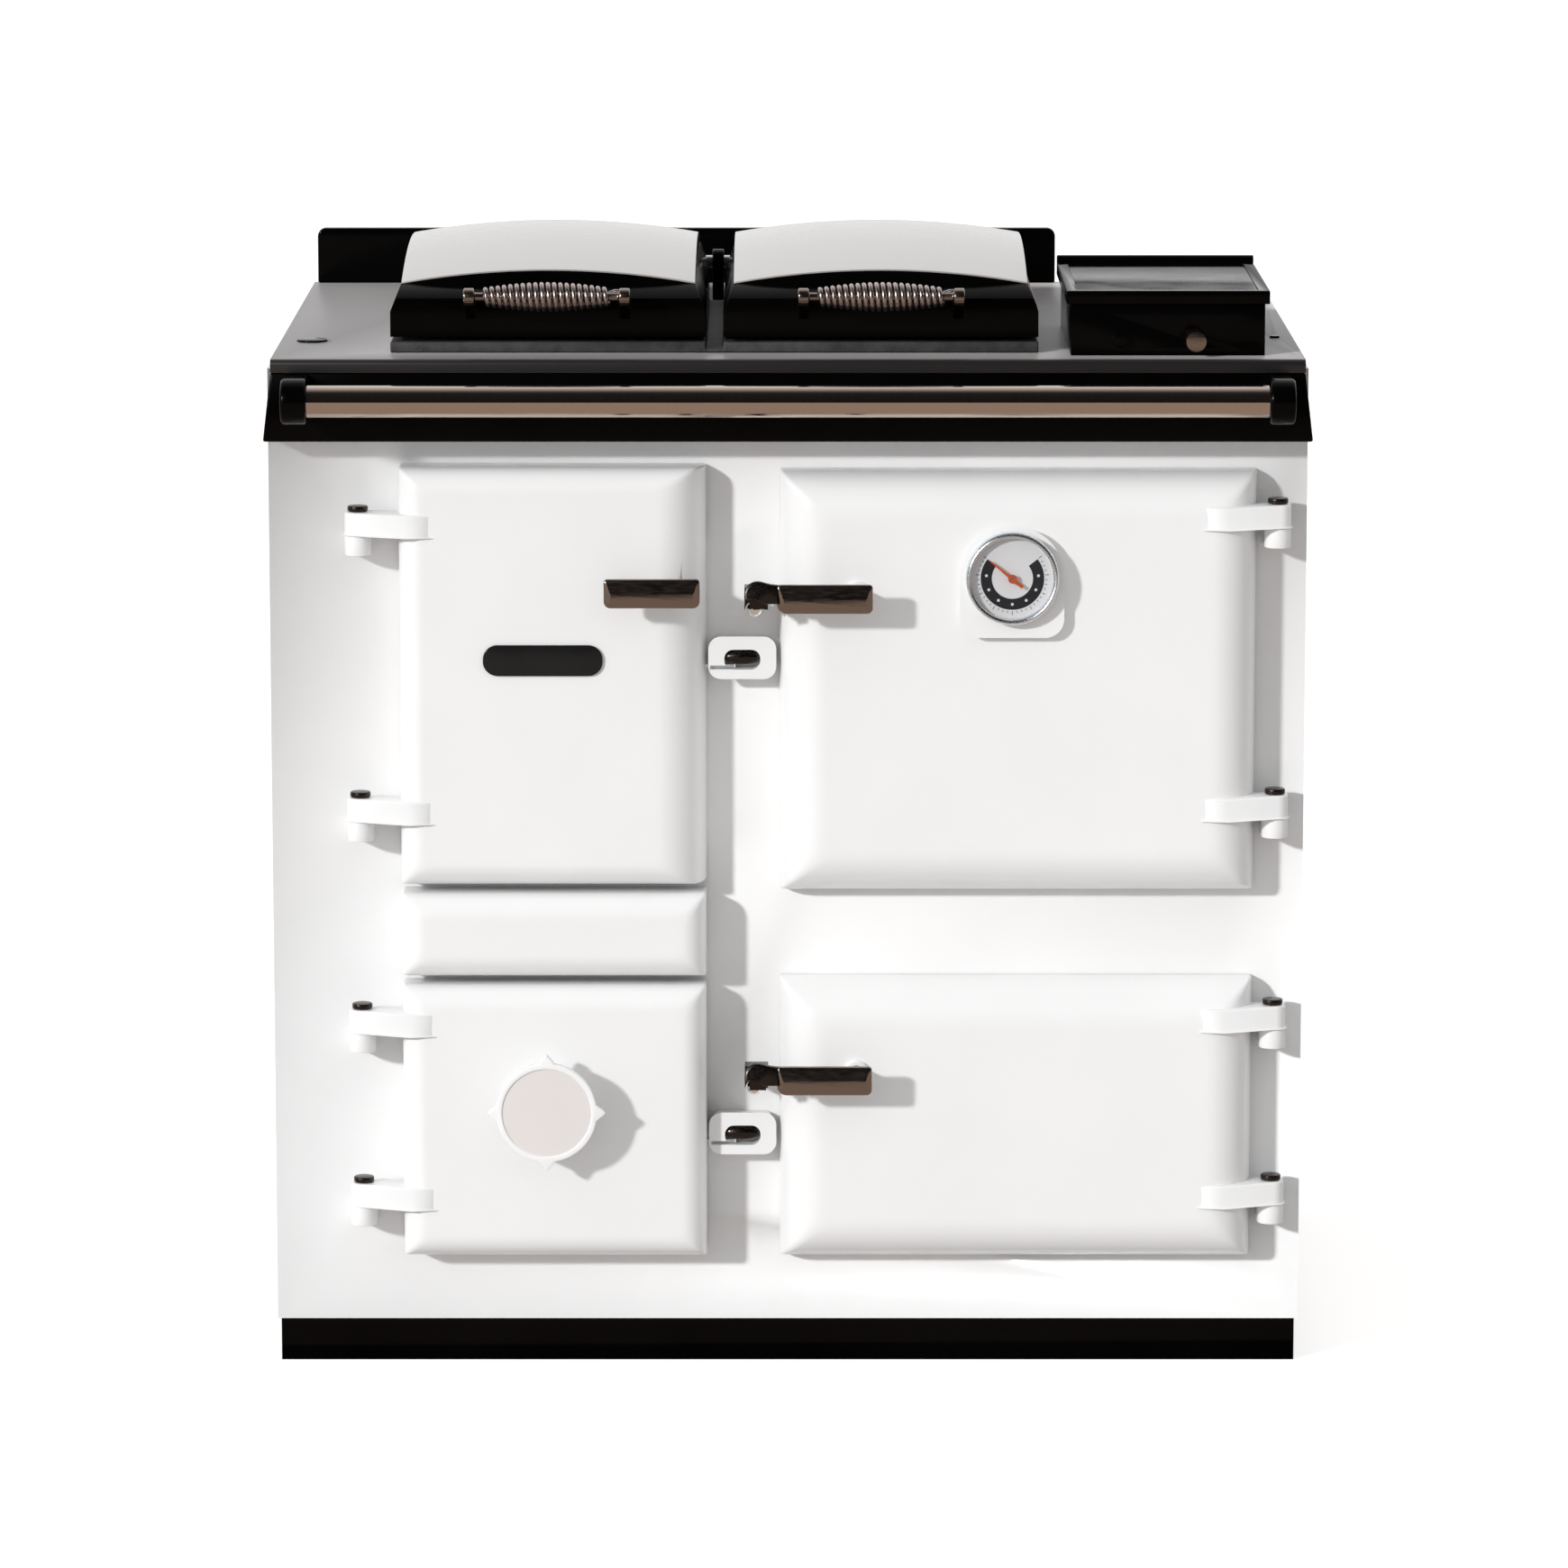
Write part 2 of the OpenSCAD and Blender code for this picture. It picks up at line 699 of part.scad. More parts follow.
// A complete door casting with its hinge arms, bored for its pins
module door_casting(box, rolls, pin_x, edge_x, side, heights) {
    difference() {
        union() {
            rolled_block(box, rim_y, door_out - door_gap, rolls);
            arms(pin_x, edge_x, side, heights);
        }
        rolled_hollow(box, rim_y, rolls);
        for (z = heights) rod_z([pin_x, front_y - hinge_out], hinge_pin_d / 2 + fit,
            z - cut, z + hinge_arm_h + cut);
    }
}

// A door's cast liner: a plate inside the rim with a pad that enters the
// opening behind it, and a rope seal in a groove around the pad
module liner(box, hole) {
    pad = inset(hole, liner_gap);
    difference() {
        union() {
            slab(inset(box, door_wall + liner_play), rim_y - liner_t, rim_y);
            slab(pad, rim_y, front_y + liner_in);
        }
        rope_ring(hole, rim_y - rope_sunk, rim_y + cut, 0);
    }
    rope_ring(hole, rim_y - rope_sunk + rope_play, front_y - gap, rope_play);
}

// The frame of rope that runs round an opening, from y0 to y1, shrunk by step
module rope_ring(hole, y0, y1, step) {
    plate_y(y0, y1) difference() {
        square_of(inset(hole, step - rope_w - rope_step));
        square_of(inset(hole, -rope_step - step));
    }
}

// Box [x0, x1, z0, z1] as a flat outline
module square_of(box) {
    translate([box[0], box[2]]) square([box[1] - box[0], box[3] - box[2]]);
}

// ---- Cabinet ----

module plinth() {
    x = side_x - plinth_inset;
    y = back_y - plinth_inset;
    color(black) {
        difference() {
            span([-x, -y, 0], [x, y, plinth_h]);
            span([-x + plinth_wall, -y + plinth_wall, -cut],
                [x - plinth_wall, y - plinth_wall, plinth_h + cut]);
        }
        span([-plinth_bar / 2, -y, 0], [plinth_bar / 2, y, plinth_h]);
    }
}

module base_plate() {
    color(iron) span([-side_x + sheet_t, panel_back_y, plinth_h],
        [side_x - sheet_t, back_y - sheet_t, plinth_h + base_t]);
}

module front_panel() {
    color(white) difference() {
        span([-side_x, front_y, plinth_h], [side_x, panel_back_y, plate_under]);
        for (hole = [stoke_box, ash_box, main_hole, lower_hole])
            slab(hole, front_y - cut, panel_back_y + cut);
    }
}

module side_panels() {
    color(white) for (side = [-1, 1]) {
        x = side * (side_x - sheet_t / 2);
        span([x - sheet_t / 2, panel_back_y, plinth_h],
            [x + sheet_t / 2, back_y, plate_under]);
    }
}

module back_panel() {
    color(iron) difference() {
        span([-side_x + sheet_t, back_y - sheet_t, plinth_h],
            [side_x - sheet_t, back_y, plate_under]);
        rod_y(spigot_at, spigot_r + spigot_play, back_y - sheet_t - cut, back_y + cut);
    }
}

module centre_panel() {
    color(white) difference() {
        rolled_block(centre_box, front_y, door_out, centre_rolls);
        rolled_hollow(centre_box, front_y, centre_rolls);
    }
}

// ---- Hob ----

// The black front below the hob, drawn solid
module fascia_block() {
    top_y = plate_front_y;
    low_y = front_y - fascia_over;
    z0 = plate_under - fascia_h;
    intersection() {
        plate_y(low_y, front_y) polygon([
            [-fascia_w / 2, z0], [fascia_w / 2, z0],
            [plate_w / 2, plate_under], [-plate_w / 2, plate_under],
        ]);
        plate_x(-fascia_w / 2, fascia_w / 2) polygon([
            [low_y, z0], [front_y, z0], [front_y, plate_under], [top_y, plate_under],
        ]);
    }
}

module fascia() {
    z0 = plate_under - fascia_h;
    color(black) difference() {
        fascia_block();
        span([-plate_w / 2 + fascia_wall, plate_front_y + fascia_wall, z0 + fascia_wall],
            [plate_w / 2 - fascia_wall, front_y + cut, plate_under + cut]);
    }
}

// Plan of the hole in the hob under the hotplate
module hot_hole(step) {
    x0 = lid_x_left - lid_w / 2 + hot_ledge;
    x1 = lid_x_right + lid_w / 2 - hot_ledge;
    translate([x0 + step, lid_front_y + hot_ledge + step])
        square([x1 - x0 - 2 * step, lid_d - 2 * hot_ledge - 2 * step]);
}

module hob_plate() {
    y0 = plate_front_y;
    color(black) difference() {
        union() {
            span([-plate_w / 2, y0 + plate_nose_r, plate_under],
                [plate_w / 2, back_y, hob_z]);
            span([-plate_w / 2, y0, plate_under],
                [plate_w / 2, y0 + plate_nose_r, hob_z - plate_nose_r]);
            intersection() {
                rod_x([y0 + plate_nose_r, hob_z - plate_nose_r], plate_nose_r,
                    -plate_w / 2, plate_w / 2);
                span([-plate_w / 2, y0, hob_z - plate_nose_r],
                    [plate_w / 2, y0 + plate_nose_r, hob_z]);
            }
        }
        translate([0, 0, plate_under - cut]) linear_extrude(height = plate_t + 2 * cut)
            hot_hole(0);
        span([flue_x0 + flue_wall + flue_ledge, flue_y0 + damper_in + flue_ledge,
                plate_under - cut],
            [flue_x1 - flue_wall - flue_ledge, flue_y1 - flue_wall - flue_ledge,
                hob_z + cut]);
        rod_z(screw_at, screw_d / 2, hob_z - screw_l, hob_z + cut);
    }
}

module hob_fixings() {
    color(black) {
        translate([plug_at[0], plug_at[1], hob_z]) intersection() {
            translate([0, 0, plug_h - plug_dome]) sphere(r = plug_dome, $fn = 120);
            cylinder(r = plug_r, h = plug_h + cut, $fn = 48);
        }
        rod_z(screw_at, screw_d / 2, hob_z - screw_l, hob_z);
        rod_z(screw_at, screw_head_r, hob_z, hob_z + screw_head_h);
        rod_y([flue_bolt_x, hob_z + damper_h], flue_bolt_r, flue_y0 - flue_bolt_r, flue_y0);
    }
}

module rear_upstand() {
    r = upstand_r;
    color(black) plate_y(back_y - upstand_t, back_y) {
        translate([upstand_x0, hob_z]) square([upstand_x1 - upstand_x0, upstand_h - r]);
        translate([upstand_x0 + r, hob_z]) square([upstand_x1 - upstand_x0 - 2 * r, upstand_h]);
        for (x = [upstand_x0 + r, upstand_x1 - r])
            translate([x, hob_z + upstand_h - r]) circle(r = r, $fn = 48);
    }
}

module handrail() {
    reach = rail_free / 2 + rail_bracket_w - rail_stop;
    color(steel) rod_x([front_y - rail_out, rail_z], rail_d / 2, -reach, reach);
}

module handrail_brackets() {
    y = front_y - rail_out;
    r = rail_bracket_d / 2;
    reach = rail_free / 2 + rail_bracket_w - rail_stop;
    color(black) difference() {
        for (side = [-1, 1]) {
            x = side * (rail_free + rail_bracket_w) / 2;
            x0 = x - rail_bracket_w / 2;
            rod_x([y, rail_z], r, x0, x0 + rail_bracket_w);
            span([x0, y, rail_z - rail_web / 2],
                [x0 + rail_bracket_w, plate_front_y + cut, plate_under - cut]);
        }
        rod_x([y, rail_z], rail_d / 2 + fit, -reach, reach);
        fascia_block();
    }
}

module hotplate() {
    x0 = lid_x_left - lid_w / 2;
    x1 = lid_x_right + lid_w / 2;
    mid = (lid_x_left + lid_x_right) / 2;
    color(iron) difference() {
        union() {
            translate([0, 0, hob_z - hot_drop]) linear_extrude(height = hot_drop)
                hot_hole(1);
            span([x0, lid_front_y, hob_z], [x1, lid_back_y, hob_z + hot_h]);
        }
        span([mid - hot_channel / 2, lid_front_y - cut, hob_z + hot_h / 3],
            [mid + hot_channel / 2, lid_back_y + cut, hob_z + hot_h + cut]);
    }
}

// ---- Lids ----

// Across-the-hob place of each hinge post: inside the left lid's outer arm,
// between the lids, and inside the right lid's outer arm
post_x = [
    lid_x_left - lid_arm_x + lid_arm_w / 2 + post_gap,
    (lid_x_left + lid_x_right) / 2 - post_t / 2,
    lid_x_right + lid_arm_x - lid_arm_w / 2 - post_gap - post_t,
];

module lid_hinge_posts() {
    color(black) for (x = post_x) plate_x(x, x + post_t) difference() {
        union() {
            translate([lid_hinge_y, lid_hinge_z]) circle(r = lid_rod_d, $fn = 48);
            translate([lid_hinge_y - lid_rod_d, hob_z])
                square([2 * lid_rod_d, lid_hinge_h]);
        }
        translate([lid_hinge_y, lid_hinge_z]) circle(r = lid_rod_d / 2 + fit, $fn = 48);
    }
}

module lid_hinge_rod() {
    over = lid_arm_x + lid_arm_w / 2 + rod_proud;
    color(steel) rod_x([lid_hinge_y, lid_hinge_z], lid_rod_d / 2,
        lid_x_left - over, lid_x_right + over);
}

// The ball whose cap gives a lid its dome, shrunk by step
module dome_ball(x, step) {
    translate([x, dome_y, dome_z]) sphere(r = dome_r - step, $fn = 360);
}

// The cast body of a lid before it is hollowed, shrunk by step
module lid_block(x, step) {
    z0 = lid_under;
    z1 = z0 + lid_front_h;
    top_z = hob_z + dome_h;
    shoulder_z = z1 + lid_shoulder;
    half = lid_w / 2 - step;
    top_half = cover_w / 2 - step;
    intersection() {
        plate_y(lid_front_y + step, lid_back_y - step) polygon([
            [x - half, z0], [x + half, z0], [x + half, z1 - lid_shoulder],
            [x + top_half, shoulder_z], [x + top_half, top_z],
            [x - top_half, top_z], [x - top_half, shoulder_z],
            [x - half, z1 - lid_shoulder],
        ]);
        plate_x(x - half, x + half) polygon([
            [lid_front_y + step, z0], [lid_back_y - step, z0],
            [lid_back_y - step, top_z], [cover_y0 + step, top_z],
            [cover_y0 + step, shoulder_z], [lid_front_y + step, z1],
        ]);
        dome_ball(x, cover_t + cover_seat + step);
    }
}

// A cast lid with its two hinge arms, hollow underneath
module lid(x) {
    color(black) difference() {
        union() {
            lid_block(x, 0);
            for (side = [-1, 1]) {
                x0 = x + side * lid_arm_x - lid_arm_w / 2;
                rod_x([lid_hinge_y, lid_hinge_z], lid_rod_d - lid_arm_thin, x0, x0 + lid_arm_w);
                span([x0, lid_back_y - cut, lid_hinge_z - lid_rod_d + lid_arm_thin],
                    [x0 + lid_arm_w, lid_hinge_y, lid_hinge_z + lid_rod_d - lid_arm_thin]);
            }
        }
        lid_block(x, lid_wall);
        span([x - lid_w / 2 + lid_wall, lid_front_y + lid_wall, lid_under - cut],
            [x + lid_w / 2 - lid_wall, lid_back_y - lid_wall, lid_under + lid_liner_t]);
        rod_x([lid_hinge_y, lid_hinge_z], lid_rod_d / 2 + fit, x - lid_w, x + lid_w);
    }
}

// The polished cover over a lid's dome
module lid_cover(x) {
    color(steel) difference() {
        intersection() {
            dome_ball(x, 0);
            span([x - cover_w / 2, cover_y0, dome_z],
                [x + cover_w / 2, cover_y0 + cover_d, hob_z + dome_h + cut]);
        }
        dome_ball(x, cover_t);
    }
}

// The polished plate that closes a lid's underside
module lid_liner(x) {
    step = lid_wall + cover_seat;
    color(steel) span([x - lid_w / 2 + step, lid_front_y + step, lid_under],
        [x + lid_w / 2 - step, lid_back_y - step, lid_under + lid_liner_t]);
}

module left_lid() lid(lid_x_left);
module right_lid() lid(lid_x_right);
module left_lid_cover() lid_cover(lid_x_left);
module right_lid_cover() lid_cover(lid_x_right);
module left_lid_liner() lid_liner(lid_x_left);
module right_lid_liner() lid_liner(lid_x_right);

// Two brackets on a lid's front, and the rod that they hold
module handle_mount(x) {
    r = coil_rod_d / 2;
    color(nickel) {
        rod_x([coil_y, coil_axis_z], r, x - coil_bracket_x, x + coil_bracket_x);
        for (side = [-1, 1]) {
            x0 = side > 0 ? x + coil_bracket_x : x - coil_bracket_x - coil_bracket_t;
            plate_x(x0, x0 + coil_bracket_t) {
                translate([coil_y, coil_axis_z]) circle(r = coil_boss_r, $fn = 32);
                polygon([
                    [coil_y, coil_axis_z - coil_boss_r],
                    [lid_front_y, lid_under + coil_foot_z],
                    [lid_front_y, lid_under + lid_front_h],
                    [coil_y, coil_axis_z + coil_boss_r],
                ]);
            }
        }
    }
}

// ---- Wound wire of the coil handles ----

// Rings of wire for each turn
coil_rings = 8;
coil_steps = coil_turns * coil_rings;
// Half of the length over which the wire winds, up to its straight ends
coil_half = coil_bracket_x - 2 * wire_d;
// Radius of the wire's path in the middle and at the ends
coil_mid_r = (coil_d - wire_d) / 2;
coil_end_r = (coil_rod_d + wire_d) / 2 + gap;

// Radius of the wire's path at distance u from the middle
function coil_r(u) = coil_end_r + (coil_mid_r - coil_end_r) * cos(90 * u / coil_half);

// The wire's path as distance along the handle, turn and radius
coil_path = concat(
    [[-coil_bracket_x, 0, coil_end_r], [-coil_bracket_x + wire_d, 0, coil_end_r]],
    [for (i = [0 : coil_steps])
        let (u = -coil_half + 2 * coil_half * i / coil_steps)
        [u, bend_turn + 360 * i / coil_rings, coil_r(u)]],
    [[coil_bracket_x - wire_d, 2 * bend_turn + 360 * coil_turns, coil_end_r],
        [coil_bracket_x, 2 * bend_turn + 360 * coil_turns, coil_end_r]]
);

// A point of the path in space, and the outward direction there
function coil_point(p) = [p[0], p[2] * cos(p[1]), p[2] * sin(p[1])];
function coil_outward(p) = [0, cos(p[1]), sin(p[1])];
function unit(v) = v / norm(v);

coil_last = len(coil_path) - 1;
coil_points = [for (p = coil_path) coil_point(p)];

// Six-sided rings of wire, square to the path
wire_rings = [for (i = [0 : coil_last])
    let (
        before = coil_points[max(i - 1, 0)],
        after = coil_points[min(i + 1, coil_last)],
        square_on = i <= 1 || i >= coil_last - 1,
        along = square_on ? [1, 0, 0] : unit(after - before),
        outward = unit(coil_outward(coil_path[i])
            - (coil_outward(coil_path[i]) * along) * along),
        across = cross(along, outward)
    )
    [for (k = [0 : wire_sides - 1])
        coil_points[i] + wire_d / 2 * (outward * cos(360 * k / wire_sides)
            + across * sin(360 * k / wire_sides))]];

// Least gap between the wire and itself, a half turn or more further on
coil_gap = min([for (i = [0 : coil_last], j = [i + coil_rings / 2 : coil_last])
    if (j <= coil_last && (j - i) <= 2 * coil_rings) norm(coil_points[j] - coil_points[i])])
    - wire_d;
echo(least_gap_of_a_coil_handle_to_itself = coil_gap);

module wound_wire(x) {
    n = wire_sides;
    points = [for (ring = wire_rings, p = ring) p];
    sides = [for (i = [0 : coil_last - 1], k = [0 : n - 1], half = [0, 1])
        let (a = i * n + k, b = i * n + (k + 1) % n)
        half == 0 ? [a, a + n, b] : [b, a + n, b + n]];
    ends = [for (k = [1 : n - 2], end = [0, 1])
        end == 0 ? [0, k, k + 1] : [coil_last * n, coil_last * n + k + 1, coil_last * n + k]];
    color(steel) translate([x, coil_y, coil_axis_z])
        polyhedron(points = points, faces = concat(sides, ends), convexity = 10);
}

module left_handle_mount() handle_mount(lid_x_left);
module right_handle_mount() handle_mount(lid_x_right);
module left_coil() wound_wire(lid_x_left);
module right_coil() wound_wire(lid_x_right);

// ---- Flue box ----

module flue_box() {
    color(black) difference() {
        span([flue_x0, flue_y0, hob_z], [flue_x1, flue_y1, flue_top]);
        span([flue_x0 + flue_wall, flue_y0 + flue_wall, hob_z - cut],
            [flue_x1 - flue_wall, flue_y1 - flue_wall, flue_top + cut]);
        rod_y([damper_x, hob_z + damper_h], damper_rod_r + fit,
            flue_y0 - cut, flue_y0 + flue_wall + cut);
    }
}

module flue_box_cover() {
    o = flue_cover_over;
    z1 = flue_top + flue_cover_t;
    color(black) difference() {
        union() {
            span([flue_x0 - o, flue_y0 - o, flue_top], [flue_x1 + o, flue_y1 + o, z1]);
            span([flue_x0 - o, flue_y1 + o - flue_rim, z1],
                [flue_x1 + o, flue_y1 + o, z1 + flue_bead - flue_rim / 2]);
            rod_x([flue_y1 + o - flue_rim / 2, z1 + flue_bead - flue_rim / 2],
                flue_rim / 2, flue_x0 - o, flue_x1 + o);
        }
        span([flue_x0 - o + flue_rim, flue_y0 - o + flue_rim, z1 - flue_panel],
            [flue_x1 + o - flue_rim, flue_y1 + o - flue_rim, z1 + cut]);
    }
}

module flue_damper() {
    z = hob_z + damper_h;
    color(nickel) {
        rod_y([damper_x, z], damper_rod_r, flue_y0 - damper_knob_l, flue_y0 + damper_in);
        rod_y([damper_x, z], damper_knob_r, flue_y0 - damper_knob_l, flue_y0 - gap);
        span([flue_x0 + flue_wall + damper_side, flue_y0 + damper_in, hob_z + gap],
            [flue_x1 - flue_wall - damper_side, flue_y1 - flue_wall - damper_side,
                hob_z + gap + damper_plate_t]);
        span([damper_x - damper_rod_r, flue_y0 + damper_in, hob_z + gap],
            [damper_x + damper_rod_r, flue_y0 + damper_in + damper_plate_t, z]);
    }
}

module flue_spigot() {
    color(iron) difference() {
        union() {
            rod_y(spigot_at, spigot_r + spigot_wall, back_y, back_y + spigot_len);
            rod_y(spigot_at, spigot_r + spigot_flange, back_y, back_y + spigot_wall);
        }
        rod_y(spigot_at, spigot_r, back_y - cut, back_y + spigot_len + cut);
    }
}

// ---- Ovens and firebox ----

// An open-fronted oven behind opening box, with runners at the given heights
module oven(hole, runners) {
    color(iron) {
        difference() {
            slab(inset(hole, -oven_wall), panel_back_y, panel_back_y + oven_d);
            slab(hole, panel_back_y - cut, panel_back_y + oven_d - oven_wall);
        }
        for (z = runners, x = [hole[0], hole[1] - runner_w])
            span([x, panel_back_y + runner_in, z - runner_t],
                [x + runner_w, panel_back_y + oven_d - oven_wall, z]);
    }
}

module main_oven() oven(main_hole, main_runners);
module lower_oven() oven(lower_hole, lower_runners);

// A wire shelf that lies on the runners at height z
module shelf(z) {
    r = shelf_wire_d / 2;
    x0 = oven_x[0] + shelf_side;
    x1 = oven_x[1] - shelf_side;
    y0 = panel_back_y + runner_in + shelf_side;
    y1 = panel_back_y + oven_d - oven_wall - shelf_side;
    for (x = [x0, x1]) rod_y([x, z + r], r, y0 - r, y1 + r);
    for (i = [0 : shelf_wires]) rod_x([y0 + (y1 - y0) * i / shelf_wires, z + r], r * shelf_thin,
        x0, x1);
}

module oven_shelves() {
    color(steel) for (z = concat(main_runners, lower_runners)) shelf(z);
}

fire_mid = (fire_x[0] + fire_x[1]) / 2;
fire_half = fire_w / 2 + brick_t;
fire_in = [fire_mid - fire_half, fire_mid + fire_half];
fire_y = [panel_back_y + fire_wall, panel_back_y + fire_d - fire_wall];
brick_top = stoke_z[1] - brick_t;

module firebox_casting() {
    color(iron) difference() {
        span([fire_in[0] - fire_wall, panel_back_y, plinth_h + base_t],
            [fire_in[1] + fire_wall, panel_back_y + fire_d, fire_top]);
        span([fire_in[0], fire_y[0], plinth_h + base_t - cut],
            [fire_in[1], fire_y[1], ashpit_z[0] - fire_wall]);
        span([fire_in[0], fire_y[0], ashpit_z[0]],
            [fire_in[1], fire_y[1], grate_z - fire_wall]);
        span([fire_in[0] + brick_t, fire_y[0] + brick_t, grate_z - fire_wall - cut],
            [fire_in[1] - brick_t, fire_y[1] - brick_t, grate_z + cut]);
        span([fire_in[0], fire_y[0], grate_z], [fire_in[1], fire_y[1], fire_top - fire_wall]);
        for (hole = [stoke_box, ash_box])
            slab(hole, panel_back_y - cut, fire_y[0] + cut);
        span([fire_in[1] - cut, fire_y[0] + brick_t, brick_top + brick_t],
            [fire_in[1] + fire_wall + cut, fire_y[1] - brick_t, fire_top - 2 * fire_wall]);
    }
}

module grate_frame() {
    rim = brick_t + grate_lip;
    color(iron) difference() {
        span([fire_in[0] + gap, fire_y[0] + gap, grate_z],
            [fire_in[1] - gap, fire_y[1] - gap, grate_z + grate_t]);
        span([fire_in[0] + rim, fire_y[0] + rim, grate_z - cut],
            [fire_in[1] - rim, fire_y[1] - rim, grate_z + grate_t + cut]);
        span([fire_in[0] + brick_t, fire_y[0] + rim, grate_z + grate_lip],
            [fire_in[1] - brick_t, fire_y[1] - rim, grate_z + grate_t + cut]);
    }
}

module riddling_grate() {
    rim = brick_t + grate_lip;
    x0 = fire_in[0] + brick_t + gap;
    x1 = fire_in[1] - brick_t - gap;
    y0 = fire_y[0] + rim + gap + riddle_travel;
    y1 = fire_y[1] - rim - gap;
    slot = (x1 - x0) / (2 * grate_slots + 1);
    color(iron) difference() {
        span([x0, y0, grate_z + grate_lip + gap], [x1, y1, grate_z + grate_t]);
        for (i = [0 : grate_slots - 1])
            span([x0 + (2 * i + 1) * slot, y0 + slot, grate_z - cut],
                [x0 + (2 * i + 2) * slot, y1 - slot, grate_z + grate_t + cut]);
    }
}

module firebricks() {
    z0 = grate_z + grate_t;
    x0 = fire_in[0] + gap;
    x1 = fire_in[1] - gap;
    y0 = fire_y[0] + gap;
    y1 = fire_y[1] - gap;
    mid_y = (y0 + brick_t + y1 - brick_t) / 2;
    color([0.78, 0.66, 0.50]) {
        for (x = [x0, x1 - brick_t]) {
            span([x, y0 + brick_t + gap, z0], [x + brick_t, mid_y - gap, brick_top]);
            span([x, mid_y, z0], [x + brick_t, y1 - brick_t - gap, brick_top]);
        }
        span([x0, y1 - brick_t, z0], [fire_mid - gap, y1, brick_top]);
        span([fire_mid, y1 - brick_t, z0], [x1, y1, brick_top]);
        span([x0, y0, z0], [x1, y0 + brick_t, stoke_z[0]]);
    }
}

module ashpan() {
    x0 = fire_x[0] + ashpan_side;
    x1 = fire_x[1] - ashpan_side;
    y0 = panel_back_y + ashpan_in;
    y1 = fire_y[1] - ashpan_side;
    z0 = ashpit_z[0];
    t = ashpan_wall;
    mid_z = z0 + ashpan_h / 2;
    color(steel) {
        difference() {
            span([x0, y0, z0], [x1, y1, z0 + ashpan_h]);
            span([x0 + t, y0 + t, z0 + t], [x1 - t, y1 - t, z0 + ashpan_h + cut]);
        }
        for (side = [-1, 1])
            rod_y([fire_mid + side * ashpan_grip, mid_z], bail_r, y0 - ashpan_bail, y0);
        rod_x([y0 - ashpan_bail, mid_z], bail_r, fire_mid - ashpan_grip - bail_r,
            fire_mid + ashpan_grip + bail_r);
    }
}

// ---- Hinges, catches and keepers ----

// Draws its children for each hinge: sets $pin_x and $arm_z
module each_hinge() {
    for (z = left_arms_z) {
        $pin_x = left_hinge_x;
        $arm_z = z;
        children();
    }
    for (z = right_arms_z) {
        $pin_x = right_hinge_x;
        $arm_z = z;
        children();
    }
}

module hinge_lugs() {
    y = front_y - hinge_out;
    r = hinge_barrel_d / 2;
    color(white) each_hinge() difference() {
        z1 = $arm_z - gap;
        union() {
            rod_z([$pin_x, y], r, z1 - hinge_lug_h, z1);
            span([$pin_x - r, y, z1 - hinge_lug_h], [$pin_x + r, front_y, z1]);
        }
        rod_z([$pin_x, y], hinge_pin_d / 2 + fit, z1 - hinge_lug_h - cut, z1 + cut);
    }
}

module hinge_pins() {
    y = front_y - hinge_out;
    color(nickel) each_hinge() {
        z1 = $arm_z + hinge_arm_h + gap;
        rod_z([$pin_x, y], hinge_pin_d / 2, $arm_z - gap - hinge_lug_h, z1);
        rod_z([$pin_x, y], hinge_head_d / 2, z1, z1 + hinge_head_h);
    }
}

module oven_catches() {
    color(steel) for (z = [main_grip_z, lower_grip_z]) {
        rod_y([catch_x, z - catch_drop], catch_ball_d / 3, front_y - catch_out, front_y);
        translate([catch_x, front_y - catch_out, z - catch_drop])
            sphere(r = catch_ball_d / 2, $fn = 48);
    }
}

// Ends of the pocket that holds a keeper's roller
roller_x = [keeper_x[0] + keeper_wall, keeper_x[1] - keeper_wall];
roller_y = front_y - keeper_out + roller_d / 2;

module roller_keepers() {
    r = roller_d / 2;
    color(white) for (z = keeper_z) difference() {
        plate_y(front_y - keeper_out, front_y)
            round_rect(keeper_x[0], keeper_x[1], z - keeper_h / 2, z + keeper_h / 2, keeper_r);
        span([roller_x[0], front_y - keeper_out - cut, z - r - tongue_t - 2 * gap],
            [roller_x[1], front_y - keeper_back, z + r + gap]);
        span([keeper_x[0] - cut, front_y - keeper_out - cut, z - r - tongue_t - 2 * gap],
            [roller_x[0] + cut, front_y - keeper_back, z - r]);
        rod_x([roller_y, z], journal_r + fit, roller_x[0] - journal_l, roller_x[1] + journal_l);
    }
}

// A barrel-shaped roller with its journals
module roller(z) {
    len = roller_x[1] - roller_x[0] - 2 * gap;
    barrel = (len * len / 4 + roller_waist * roller_waist) / (2 * roller_waist);
    color(nickel) translate([(roller_x[0] + roller_x[1]) / 2, roller_y, z])
        rotate([0, 90, 0]) {
            rotate_extrude($fn = 48) intersection() {
                translate([0, -len / 2]) square([roller_d, len]);
                translate([roller_d / 2 - barrel, 0]) circle(r = barrel, $fn = 180);
            }
            cylinder(r = journal_r, h = len + 2 * journal_l, center = true, $fn = 48);
        }
}

module upper_roller() roller(keeper_z[0]);
module lower_roller() roller(keeper_z[1]);

// ---- Doors ----

// The steel tongue in a left door's free edge, which passes under the roller,
// from x0 to x1 and grown by step in its thickness and depth
module tongue(z, x0, x1, step) {
    y1 = front_y - keeper_back - gap;
    z1 = z - roller_d / 2 - gap;
    span([x0, y1 - tongue_deep - step, z1 - tongue_t - step], [x1, y1 + step, z1 + step]);
}

